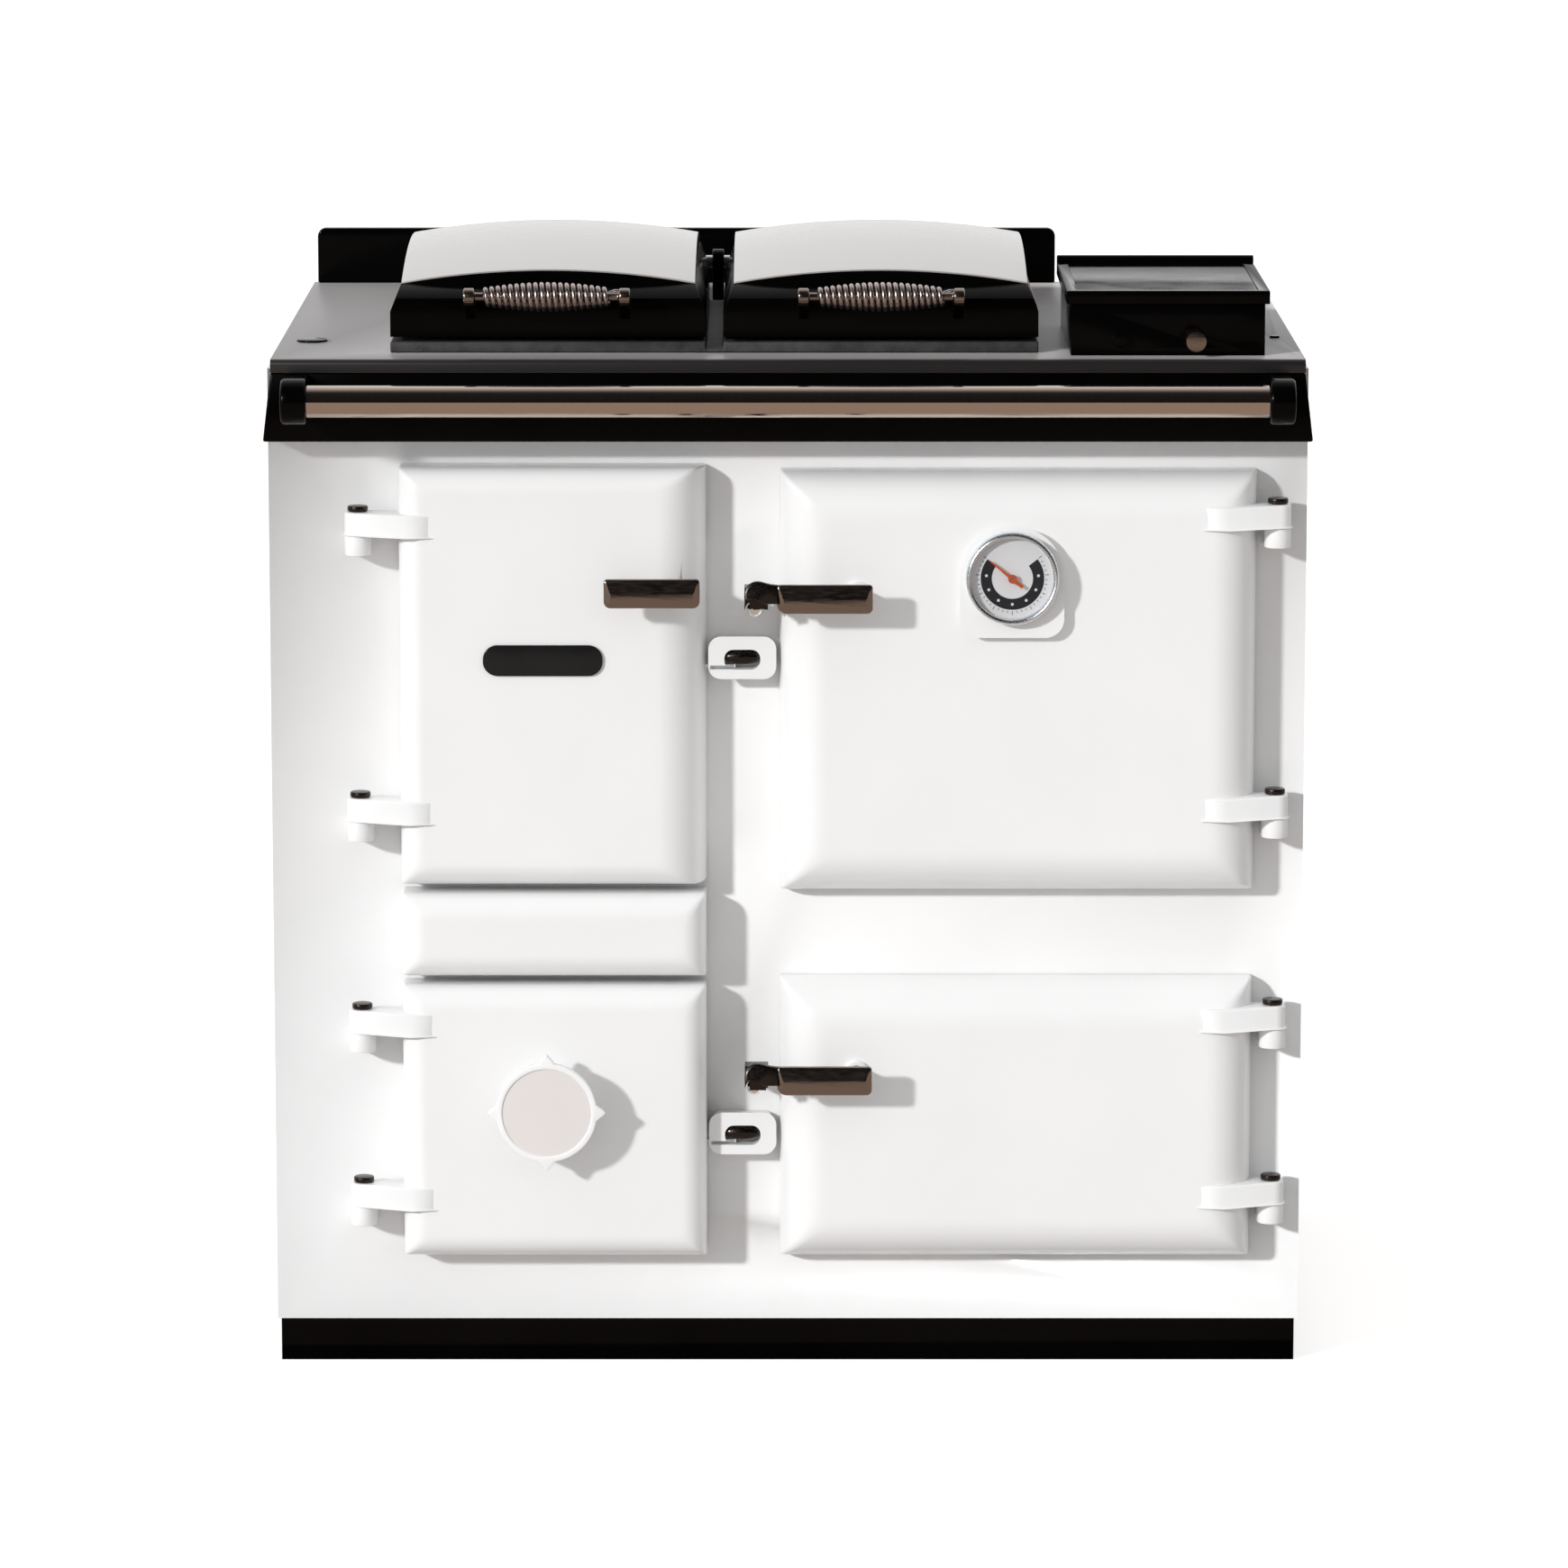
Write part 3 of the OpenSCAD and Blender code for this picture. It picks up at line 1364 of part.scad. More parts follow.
// A left door's casting with the slot for its tongue, and the tongue
module left_door(box, rolls, heights, z) {
    difference() {
        door_casting(box, rolls, left_hinge_x, left_door_x0, 1, heights);
        tongue(z, left_door_x1 - door_wall - cut, left_door_x1 + cut, tongue_play);
    }
    tongue(z, left_door_x1 - door_wall + tongue_play, roller_x[0] + tongue_in, 0);
}

module firebox_door() {
    color(white) difference() {
        left_door(firebox_box, firebox_rolls, firebox_arms_z, keeper_z[0]);
        firebox_posts(post_r + fit, door_y - cut);
    }
}

module ashpit_door() {
    color(white) difference() {
        left_door(ashpit_box, ashpit_rolls, ashpit_arms_z, keeper_z[1]);
        rod_y([wheel_x, wheel_z], inlet_r, door_y - cut, door_y + door_wall + cut);
    }
}

module main_oven_door() {
    z = main_grip_z;
    x = grip_x0 + grip_l - spindle_in;
    color(white) difference() {
        union() {
            door_casting(main_box, right_rolls, right_hinge_x, right_door_x1, -1, main_arms_z);
            rod_y([x, z], spindle_boss_r, door_y - spindle_boss, door_y + door_wall);
            plate_y(door_y - gauge_pad_t, door_y + cut) {
                translate([gauge_x, gauge_z]) circle(r = gauge_pad_r, $fn = 96);
                round_rect(gauge_x - gauge_pad_r, gauge_x + gauge_pad_r,
                    gauge_z - gauge_pad_drop, gauge_z + gauge_pad_corner, gauge_pad_corner);
            }
        }
        rod_y([x, z], spindle_d / 2 + fit, door_y - spindle_boss - cut, door_y + door_wall + cut);
    }
}

module lower_oven_door() {
    z = lower_grip_z;
    x = grip_x0 + grip_l - spindle_in;
    color(white) difference() {
        union() {
            door_casting(lower_box, right_rolls, right_hinge_x, right_door_x1, -1,
                lower_arms_z);
            rod_y([x, z], spindle_boss_r, door_y - spindle_boss, door_y + door_wall);
        }
        rod_y([x, z], spindle_d / 2 + fit, door_y - spindle_boss - cut, door_y + door_wall + cut);
    }
}

module firebox_door_liner() color(iron) liner(firebox_box, stoke_box);
module main_oven_door_liner() color(iron) liner(main_box, main_hole);
module lower_oven_door_liner() color(iron) liner(lower_box, lower_hole);

module ashpit_door_liner() {
    color(iron) difference() {
        liner(ashpit_box, ash_box);
        rod_y([wheel_x, wheel_z], inlet_r, rim_y - liner_t - cut, front_y + liner_in + cut);
    }
}

// ---- Handles ----

// The flat grip of a handle from x0, z its middle height; chamfer cuts off
// its lower left corner
module grip(x0, z, chamfer) {
    y0 = door_y - grip_gap - grip_t;
    difference() {
        plate_y(y0, y0 + grip_t) difference() {
            round_rect(x0, x0 + grip_l, z - grip_h / 2, z + grip_h / 2, grip_r);
            if (chamfer > 0) translate([x0, z - grip_h / 2]) rotate(45)
                square([chamfer * sqrt(2), chamfer * sqrt(2)], center = true);
        }
        plate_y(y0 - cut, y0 + grip_dish)
            round_rect(x0 + max(chamfer, grip_border), x0 + grip_l - grip_border,
                z - grip_h / 2 + grip_border, z + grip_h / 2 - grip_border, grip_r / 2);
    }
}

// A lever handle that hooks over its catch: the grip, a nose over the ball,
// the link back to the hook, and the spindle with its collar behind the door
module lever(z) {
    y0 = door_y - grip_gap - grip_t;
    x1 = grip_x0 + grip_l - spindle_in;
    ball = [catch_x, z - catch_drop];
    hook_y = front_y - catch_out;
    left = catch_x - catch_ball_d / 2 - hook_wall;
    top = z + grip_h / 2 + nose_rise;
    low = z - grip_h / 2 + nose_r / 2;
    hook_top = ball[1] + catch_ball_d / 2 + hook_wall + nose_r;
    color(nickel) {
        grip(grip_x0, z, grip_chamfer);
        plate_y(y0, y0 + grip_t) {
            translate([left + nose_r, top - nose_r]) circle(r = nose_r, $fn = 48);
            translate([left + nose_r, low + nose_r / 2])
                square([grip_x0 + cut - left - nose_r, top - low - nose_r / 2]);
            translate([left, low]) square([nose_r, top - nose_r - low]);
        }
        span([left + nose_r / 2, y0 + grip_t - cut, hook_top - nose_r],
            [left + nose_r * 1.5, hook_y - catch_ball_d / 2, hook_top]);
        difference() {
            span([left, hook_y - catch_ball_d / 2 - hook_wall, ball[1] + hook_rise],
                [catch_x + hook_right, hook_y + catch_ball_d / 2 + hook_back, hook_top]);
            rod_y(ball, catch_ball_d / 2 + hook_clear, y0, front_y);
        }
        rod_y([x1, z], spindle_d / 2, y0 + grip_t - cut, door_y + door_wall + collar_t);
        rod_y([x1, z], spindle_boss_r, door_y + door_wall + gap,
            door_y + door_wall + gap + collar_t);
    }
}

module main_oven_handle() lever(main_grip_z);
module lower_oven_handle() lever(lower_grip_z);

// The firebox handle's two posts from y0 through the door's wall
module firebox_posts(r, y0) {
    for (x = [firebox_grip_x0 + spindle_in, firebox_grip_x0 + grip_l - spindle_in])
        rod_y([x, firebox_grip_z], r, y0, door_y + post_deep);
}

module firebox_handle() {
    color(nickel) {
        grip(firebox_grip_x0, firebox_grip_z, 0);
        firebox_posts(post_r, door_y - grip_gap - cut);
    }
}

module oval_plate() {
    color(black) plate_y(door_y - oval_t, door_y)
        round_rect(oval_x - oval_size[0] / 2, oval_x + oval_size[0] / 2,
            oval_z - oval_size[1] / 2, oval_z + oval_size[1] / 2, oval_size[1] / 2 - 1);
}

// ---- Thermometer ----

gauge_y0 = door_y - gauge_pad_t - gauge_t;

module gauge_case() {
    at = [gauge_x, gauge_z];
    color(steel) difference() {
        rod_y(at, gauge_r, gauge_y0, door_y - gauge_pad_t);
        rod_y(at, gauge_r - gauge_wall, gauge_y0 - cut, gauge_y0 + gauge_well);
    }
    color("white") rod_y(at, gauge_axle_r, gauge_y0 + gauge_glass + gap, gauge_y0 + gauge_well);
    color([0.8, 0.9, 0.95, 0.4])
        rod_y(at, gauge_r - gauge_wall - glass_play, gauge_y0, gauge_y0 + gauge_glass);
}

module gauge_needle() {
    y0 = gauge_y0 + gauge_glass + 2 * gap;
    color([0.85, 0.25, 0.1]) translate([gauge_x, 0, gauge_z]) rotate([0, -needle_rest, 0])
        difference() {
            union() {
                rod_y([0, 0], needle_hub_r, y0, y0 + needle_t);
                plate_y(y0, y0 + needle_t) polygon([
                    [0, needle_w / 2], [needle_l, needle_w / 6], [needle_l, -needle_w / 6],
                    [0, -needle_w / 2], [-needle_tail, -needle_w / 2],
                    [-needle_tail, needle_w / 2],
                ]);
            }
            rod_y([0, 0], gauge_axle_r + fit, y0 - cut, y0 + needle_t + cut);
        }
}

// ---- Air wheel ----

wheel_at = [wheel_x, wheel_z];
wheel_face_y = door_y - wheel_out - wheel_t;

module wheel_stud() {
    y0 = wheel_face_y + wheel_skin + 2 * gap;
    color(steel) {
        rod_y(wheel_at, stud_r, y0, door_y + door_wall + stud_bar_t);
        span([wheel_x - inlet_r - stud_bar_over, door_y + door_wall, wheel_z - stud_bar_h / 2],
            [wheel_x + inlet_r + stud_bar_over, door_y + door_wall + stud_bar_t,
                wheel_z + stud_bar_h / 2]);
    }
}

module wheel_washer() {
    color(steel) difference() {
        rod_y(wheel_at, washer_r, door_y, door_y + washer_t);
        rod_y(wheel_at, stud_r + fit, door_y - cut, door_y + washer_t + cut);
    }
}

module air_wheel() {
    y1 = door_y - gap;
    color(white) difference() {
        union() {
            plate_y(wheel_face_y, wheel_face_y + wheel_t) translate(wheel_at) {
                circle(r = wheel_r, $fn = 96);
                for (a = [0, 90, 180, 270]) rotate(a) polygon([
                    [wheel_r - nub_root, -nub_w / 2], [wheel_nub_r - nub_root, -nub_w / 6],
                    [wheel_nub_r, 0],
                    [wheel_nub_r - nub_root, nub_w / 6], [wheel_r - nub_root, nub_w / 2],
                ]);
            }
            rod_y(wheel_at, wheel_hub_r, wheel_face_y + wheel_t - cut, y1);
            rod_y(wheel_at, inlet_r + valve_over, y1 - valve_t, y1);
        }
        rod_y(wheel_at, wheel_r - wheel_rim, wheel_face_y - cut, wheel_face_y + wheel_dish);
        rod_y(wheel_at, stud_r + fit, wheel_face_y + wheel_skin + gap, y1 + cut);
    }
}

plinth();
base_plate();
front_panel();
side_panels();
back_panel();
centre_panel();
fascia();
hob_plate();
hob_fixings();
rear_upstand();
handrail();
handrail_brackets();
hotplate();
lid_hinge_posts();
lid_hinge_rod();
flue_box();
flue_box_cover();
flue_spigot();
firebox_casting();
firebricks();
grate_frame();
ashpan();
main_oven();
lower_oven();
oven_shelves();
hinge_lugs();
hinge_pins();
oven_catches();
roller_keepers();
upper_roller();
lower_roller();
riddling_grate();
flue_damper();
firebox_door();
firebox_door_liner();
oval_plate();
firebox_handle();
ashpit_door();
ashpit_door_liner();
wheel_stud();
wheel_washer();
air_wheel();
main_oven_door();
main_oven_door_liner();
gauge_case();
gauge_needle();
main_oven_handle();
lower_oven_door();
lower_oven_door_liner();
lower_oven_handle();
left_lid();
left_lid_cover();
left_lid_liner();
left_handle_mount();
left_coil();
right_lid();
right_lid_cover();
right_lid_liner();
right_handle_mount();
right_coil();
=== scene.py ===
"""Looks for the range cooker: enamel, steel, gauge, wound handles, floor, lights and camera."""
import json
import math

import bmesh
import bpy
from mathutils import Matrix, Vector

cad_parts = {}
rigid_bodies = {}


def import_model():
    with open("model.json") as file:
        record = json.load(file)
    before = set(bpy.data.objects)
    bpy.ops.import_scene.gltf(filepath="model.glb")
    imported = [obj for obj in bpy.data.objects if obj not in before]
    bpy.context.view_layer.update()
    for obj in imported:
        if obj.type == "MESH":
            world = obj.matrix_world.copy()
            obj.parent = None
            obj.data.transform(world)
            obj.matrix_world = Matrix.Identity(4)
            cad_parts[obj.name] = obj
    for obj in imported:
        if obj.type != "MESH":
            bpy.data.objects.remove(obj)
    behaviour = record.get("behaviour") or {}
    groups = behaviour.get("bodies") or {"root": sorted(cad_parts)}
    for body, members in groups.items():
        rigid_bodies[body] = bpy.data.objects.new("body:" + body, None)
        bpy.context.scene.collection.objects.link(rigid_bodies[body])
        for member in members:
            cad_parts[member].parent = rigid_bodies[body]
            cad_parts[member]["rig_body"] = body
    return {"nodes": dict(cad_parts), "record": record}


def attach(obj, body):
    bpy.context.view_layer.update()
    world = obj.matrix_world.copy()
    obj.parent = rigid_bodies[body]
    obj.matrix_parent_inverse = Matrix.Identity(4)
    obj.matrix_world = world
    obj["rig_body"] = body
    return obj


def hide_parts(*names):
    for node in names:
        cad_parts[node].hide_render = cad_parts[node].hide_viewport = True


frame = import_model()
NODES = frame["nodes"]
SLOTS = {s["node"]: s["material_slot"] for s in frame["record"]["subparts"]}
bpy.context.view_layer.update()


# ---------------------------------------------------------------- materials

COAT_ROUGH = 0.04
# The noise's usual span, over which colour and roughness go from their low to their high end.
NOISE_LOW, NOISE_HIGH = 0.35, 0.65


def shader(name, color, rough, metallic=0.0, coat=0.0, alpha=1.0):
    """A Principled material; returns it with its tree and shader node."""
    mat = bpy.data.materials.new(name)
    mat.use_nodes = True
    tree = mat.node_tree
    bsdf = tree.nodes["Principled BSDF"]
    bsdf.inputs["Base Color"].default_value = (*color, 1)
    bsdf.inputs["Roughness"].default_value = rough
    bsdf.inputs["Metallic"].default_value = metallic
    bsdf.inputs["Coat Weight"].default_value = coat
    bsdf.inputs["Coat Roughness"].default_value = COAT_ROUGH
    bsdf.inputs["Alpha"].default_value = alpha
    return mat, tree, bsdf


def noise(tree, scale, detail=3.0, stretch=(1, 1, 1)):
    """Object-space noise; returns its value socket."""
    coords = tree.nodes.new("ShaderNodeTexCoord")
    mapping = tree.nodes.new("ShaderNodeMapping")
    mapping.inputs["Scale"].default_value = stretch
    tex = tree.nodes.new("ShaderNodeTexNoise")
    tex.inputs["Scale"].default_value = scale
    tex.inputs["Detail"].default_value = detail
    tree.links.new(coords.outputs["Object"], mapping.inputs["Vector"])
    tree.links.new(mapping.outputs["Vector"], tex.inputs["Vector"])
    return tex.outputs["Fac"]


def bump(tree, bsdf, height, depth, coat=False):
    """Bumps of some depth in metres, on the coat too if there is one."""
    node = tree.nodes.new("ShaderNodeBump")
    node.inputs["Distance"].default_value = depth
    node.inputs["Strength"].default_value = 1.0
    tree.links.new(height, node.inputs["Height"])
    tree.links.new(node.outputs["Normal"], bsdf.inputs["Normal"])
    if coat:
        tree.links.new(node.outputs["Normal"], bsdf.inputs["Coat Normal"])


def ramp(tree, value, stops):
    """Colour that follows value over stops of (place, colour)."""
    node = tree.nodes.new("ShaderNodeValToRGB")
    ends = node.color_ramp.elements
    ends[0].position, ends[0].color = stops[0][0], (*stops[0][1], 1)
    ends[1].position, ends[1].color = stops[-1][0], (*stops[-1][1], 1)
    for at, color in stops[1:-1]:
        ends.new(at).color = (*color, 1)
    tree.links.new(value, node.inputs["Fac"])
    return node.outputs["Color"]


def remap(tree, value, from_low, from_high, to_low=0.0, to_high=1.0):
    """value taken from one span to another."""
    node = tree.nodes.new("ShaderNodeMapRange")
    node.inputs["From Min"].default_value = from_low
    node.inputs["From Max"].default_value = from_high
    node.inputs["To Min"].default_value = to_low
    node.inputs["To Max"].default_value = to_high
    tree.links.new(value, node.inputs["Value"])
    return node.outputs["Result"]


def uneven(tree, bsdf, value, rough, vary):
    """Roughness that follows value, by a share of vary to both sides."""
    result = remap(tree, value, NOISE_LOW, NOISE_HIGH, rough * (1 - vary), rough * (1 + vary))
    tree.links.new(result, bsdf.inputs["Roughness"])


def enamel(name, low, high, rough, wave, coat=0.0, shine=0.5):
    """Glossy enamel with a faint cloudiness and the gentle waviness of a casting."""
    mat, tree, bsdf = shader(name, high, rough, coat=coat)
    bsdf.inputs["Specular IOR Level"].default_value = shine
    cloud = noise(tree, scale=9.0, detail=4.0)
    tree.links.new(ramp(tree, cloud, [(NOISE_LOW, low), (NOISE_HIGH, high)]),
                   bsdf.inputs["Base Color"])
    uneven(tree, bsdf, noise(tree, scale=30.0), rough, vary=0.15)
    bump(tree, bsdf, noise(tree, scale=70.0, detail=2.0), wave, coat=True)
    return mat


def hob_enamel():
    """Matt black enamel that looks grey at a slant."""
    mat, _, bsdf = shader("hob_enamel", (0.012, 0.011, 0.011), rough=0.38)
    bsdf.inputs["Sheen Weight"].default_value = 0.55
    bsdf.inputs["Sheen Roughness"].default_value = 0.35
    bsdf.inputs["Sheen Tint"].default_value = (1.0, 0.96, 0.96, 1)
    return mat


def cast(name, low, high, rough, grain, metallic=0.0):
    """Rough cast metal, brick or rope; grain is the depth of its bumps in metres."""
    mat, tree, bsdf = shader(name, high, rough, metallic)
    patches = noise(tree, scale=60.0, detail=6.0)
    tree.links.new(ramp(tree, patches, [(0.3, low), (0.7, high)]), bsdf.inputs["Base Color"])
    bump(tree, bsdf, noise(tree, scale=420.0, detail=4.0), grain)
    return mat


def metal(name, color, rough, stretch=(1, 1, 1), depth=0.00003, metallic=1.0):
    """Steel with fine polishing lines, which run along the axis that stretch makes short."""
    mat, tree, bsdf = shader(name, color, rough, metallic)
    lines = noise(tree, scale=900.0, detail=2.0, stretch=stretch)
    uneven(tree, bsdf, lines, rough, vary=0.25)
    bump(tree, bsdf, lines, depth)
    return mat


white = enamel("white_enamel", (0.875, 0.875, 0.875), (0.895, 0.895, 0.895), rough=0.34,
               wave=0.00004, coat=0.35)
black = enamel("black_enamel", (0.0008, 0.0007, 0.0007), (0.0016, 0.0014, 0.0014), rough=0.16,
               wave=0.00002, shine=0.08)
plate = enamel("black_plate", (0.008, 0.008, 0.008), (0.014, 0.014, 0.015), rough=0.22,
               wave=0.00002, shine=0.3)
dial = enamel("dial", (0.84, 0.84, 0.85), (0.88, 0.88, 0.89), rough=0.35, wave=0.00001)
pearl = enamel("wheel_rim", (0.90, 0.90, 0.90), (0.93, 0.93, 0.93), rough=0.2, wave=0.00001,
               coat=0.5)
blush = enamel("wheel_face", (0.76, 0.72, 0.71), (0.79, 0.75, 0.735), rough=0.4, wave=0.00002,
               coat=0.2)
hob_black = hob_enamel()
iron = cast("cast_iron", (0.022, 0.022, 0.023), (0.050, 0.050, 0.052), rough=0.62, grain=0.0004)
brick = cast("firebrick", (0.42, 0.31, 0.19), (0.60, 0.47, 0.31), rough=0.95, grain=0.0010)
rope = cast("rope", (0.20, 0.19, 0.17), (0.42, 0.40, 0.37), rough=1.0, grain=0.0012)
zinc = cast("galvanised", (0.38, 0.39, 0.40), (0.47, 0.48, 0.49), rough=0.42, grain=0.0001,
            metallic=0.45)
polished = metal("polished_steel", (0.58, 0.565, 0.55), rough=0.20, stretch=(0.04, 1, 1))
cover_steel = metal("cover_steel", (0.60, 0.585, 0.575), rough=0.20, stretch=(0.04, 1, 1),
                    metallic=0.55)
bright = metal("ball_steel", (0.92, 0.90, 0.88), rough=0.08, depth=0.00001)
rail_steel = metal("rail_steel", (0.54, 0.44, 0.39), rough=0.10, stretch=(1, 0.05, 0.05))
nickel = metal("dark_nickel", (0.30, 0.245, 0.215), rough=0.20, stretch=(0.1, 1, 1))
pin_steel = metal("pin_steel", (0.05, 0.042, 0.038), rough=0.30)
wire = metal("wound_wire", (0.47, 0.40, 0.38), rough=0.30, stretch=(1, 0.3, 0.3))
chrome = metal("bezel_chrome", (0.78, 0.83, 0.87), rough=0.30, depth=0.00001)
needle = shader("needle", (0.62, 0.09, 0.02), rough=0.4)[0]
ink = shader("dial_ink", (0.012, 0.014, 0.02), rough=0.45)[0]
glass = shader("gauge_glass", (0.02, 0.025, 0.03), rough=0.02, alpha=0.08)[0]
MATERIALS = {
    "white_enamel": white, "black_enamel": black, "cast_iron": iron, "galvanised": zinc,
    "polished_steel": polished, "rail_steel": rail_steel, "dark_nickel": nickel,
    "wound_wire": wire, "firebrick": brick, "needle": needle, "black_plate": plate,
    "dial": dial, "gauge_glass": glass, "rope": rope,
}
CAD_SMOOTH = 30
for node, obj in NODES.items():
    obj.data.materials.clear()
    obj.data.materials.append(MATERIALS[SLOTS[node]])
    obj.data.set_sharp_from_angle(angle=math.radians(CAD_SMOOTH))


# ------------------------------------------------------------------ shapes
# Shapes are built in millimetres; piece() turns them into metres.

MM = 0.001
WELD = 0.01
POINT_R = 0.001
FLAT_ANGLE = 0.6
EDGE_ANGLE, PLATE_EDGE_ANGLE = 28, 40
SMOOTH = 32
ROUND_STEPS, FINE_STEPS, BEZEL_STEPS = 64, 96, 128


def corners(points):
    """Lowest and highest corner of some points."""
    return [[pick(p[i] for p in points) for i in range(3)] for pick in (min, max)]


def box(node):
    """Lowest and highest corner of a CAD node."""
    return corners([v.co / MM for v in NODES[node].data.vertices])


def middle_of(low, high):
    """Middle of a box as seen from the front."""
    return (low[0] + high[0]) / 2, (low[2] + high[2]) / 2


def islands(bm):
    """The separate solids of a bmesh, each as a list of its vertices."""
    left = set(bm.verts)
    found = []
    while left:
        stack = [left.pop()]
        island = [stack[0]]
        while stack:
            for edge in stack.pop().link_edges:
                for v in edge.verts:
                    if v in left:
                        left.discard(v)
                        stack.append(v)
                        island.append(v)
        found.append(island)
    return found


def solid_of(node, keep=None):
    """A clean bmesh of a CAD node; keep(low, high) picks some of its separate solids."""
    bm = bmesh.new()
    bm.from_mesh(NODES[node].data)
    bmesh.ops.scale(bm, vec=(1 / MM, 1 / MM, 1 / MM), verts=bm.verts)
    bmesh.ops.remove_doubles(bm, verts=bm.verts, dist=WELD)
    if keep:
        doomed = [v for part in islands(bm) if not keep(*corners([v.co for v in part]))
                  for v in part]
        bmesh.ops.delete(bm, geom=doomed, context="VERTS")
    return bm


def solids(node):
    """Lowest and highest corner of each separate solid of a CAD node, from the left."""
    bm = solid_of(node)
    found = sorted(corners([v.co.copy() for v in part]) for part in islands(bm))
    bm.free()
    return found


def added(name, data):
    """A new object in the scene."""
    obj = bpy.data.objects.new(name, data)
    bpy.context.scene.collection.objects.link(obj)
    return obj


def piece(name, bm, body, slot, mat=None, smooth_below=SMOOTH):
    """A finished mesh that rides on a body."""
    mesh = bpy.data.meshes.new(name)
    bmesh.ops.scale(bm, vec=(MM, MM, MM), verts=bm.verts)
    bmesh.ops.recalc_face_normals(bm, faces=bm.faces)
    bm.to_mesh(mesh)
    bm.free()
    for face in mesh.polygons:
        face.use_smooth = True
    mesh.set_sharp_from_angle(angle=math.radians(smooth_below))
    mesh.materials.append(mat or MATERIALS[slot])
    obj = added(name, mesh)
    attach(obj, body)
    return obj


def stand_in(node, bm, mat=None, smooth_below=SMOOTH):
    """A piece that replaces a CAD node on the same body, in its slot's material unless another is
    given.
    """
    obj = piece(node + "_fine", bm, NODES[node]["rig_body"], SLOTS[node], mat, smooth_below)
    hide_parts(node)


def beside(node, name, bm, slot=None, mat=None):
    """A piece that rides on the same body as a CAD node."""
    piece(name, bm, NODES[node]["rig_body"], slot or SLOTS[node], mat)


def bevel_edges(bm, width, angle=EDGE_ANGLE, segments=3):
    """bm with its flat faces made whole and its edges above an angle rounded."""
    bmesh.ops.dissolve_limit(bm, angle_limit=math.radians(FLAT_ANGLE), verts=bm.verts,
                             edges=bm.edges, delimit={"NORMAL"})
    sharp = [e for e in bm.edges if len(e.link_faces) == 2
             and e.calc_face_angle(0) > math.radians(angle)]
    bmesh.ops.bevel(bm, geom=sharp, offset=width, segments=segments, profile=0.5,
                    affect="EDGES", clamp_overlap=True)
    return bm


def merge(*parts):
    """One bmesh of several."""
    whole = bmesh.new()
    for bm in parts:
        mesh = bpy.data.meshes.new("part")
        bm.to_mesh(mesh)
        bm.free()
        whole.from_mesh(mesh)
        bpy.data.meshes.remove(mesh)
    return whole


def carve(bm, *cutters):
    """bm with the cutters taken away."""
    made = []
    for source in (bm, *cutters):
        mesh = bpy.data.meshes.new("carve")
        bmesh.ops.recalc_face_normals(source, faces=source.faces)
        source.to_mesh(mesh)
        source.free()
        made.append(added("carve", mesh))
    for tool in made[1:]:
        cut = made[0].modifiers.new("cut", "BOOLEAN")
        cut.operation, cut.solver, cut.object = "DIFFERENCE", "EXACT", tool
    graph = bpy.context.evaluated_depsgraph_get()
    result = bpy.data.meshes.new_from_object(made[0].evaluated_get(graph))
    out = bmesh.new()
    out.from_mesh(result)
    for obj in made:
        bpy.data.meshes.remove(obj.data)
    bpy.data.meshes.remove(result)
    return out


def loft(rings, closed=False):
    """Skin over rings of equally many points; open rows are capped at both ends."""
    bm = bmesh.new()
    rows = [[bm.verts.new(p) for p in ring] for ring in rings]
    n = len(rows[0])
    pairs = list(zip(rows, rows[1:] + rows[:1])) if closed else list(zip(rows, rows[1:]))
    for a, b in pairs:
        for i in range(n):
            j = (i + 1) % n
            bm.faces.new((a[i], a[j], b[j], b[i]))
    if not closed:
        bm.faces.new(rows[0])
        bm.faces.new(rows[-1])
    return bm


def round_box(x0, x1, z0, z1, radii, steps=6, between=0):
    """Outline of a rectangle with round corners; radii: right upper, left upper,
    left lower and right lower. between is the number of extra points on each side."""
    points = []
    places = ((x1, z1, -1, -1), (x0, z1, 1, -1), (x0, z0, 1, 1), (x1, z0, -1, 1))
    for k, ((x, z, sx, sz), r) in enumerate(zip(places, radii)):
        for i in range(steps + 1):
            a = math.radians(90 * k + 90 * i / steps)
            points.append((x + sx * r + r * math.cos(a), z + sz * r + r * math.sin(a)))
    if not between:
        return points
    fine = []
    for i, (x, z) in enumerate(points):
        fine.append((x, z))
        if i % (steps + 1) == steps:
            nx, nz = points[(i + 1) % len(points)]
            fine += [(x + (nx - x) * k / (between + 1), z + (nz - z) * k / (between + 1))
                     for k in range(1, between + 1)]
    return fine


def arc(x, z, r, steps, start, sweep):
    """Points of an arc, from start degrees anticlockwise of the right."""
    turns_to = [math.radians(start + sweep * i / steps) for i in range(steps + 1)]
    return [(x + r * math.cos(a), z + r * math.sin(a)) for a in turns_to]


def upright(outline, y):
    """An outline in X and Z, stood up at a place along Y."""
    return [(x, y, z) for x, z in outline]


def plate_y(outline, y0, y1, bevel=0.0, segments=3):
    """An upright outline in X and Z drawn from y0 to y1, with its edges rounded."""
    bm = loft([upright(outline, y0), upright(outline, y1)])
    return bevel_edges(bm, bevel, PLATE_EDGE_ANGLE, segments) if bevel else bm


def turn_rings(profile, steps=ROUND_STEPS):
    """Rings of a profile of (radius, place) turned around the Z axis at the origin."""
    return [[(max(r, POINT_R) * math.cos(math.tau * i / steps),
              max(r, POINT_R) * math.sin(math.tau * i / steps), at) for i in range(steps)]
            for r, at in profile]


def turned(profile, steps=ROUND_STEPS):
    """A profile of (radius, place) turned around the Z axis at the origin."""
    return loft(turn_rings(profile, steps))


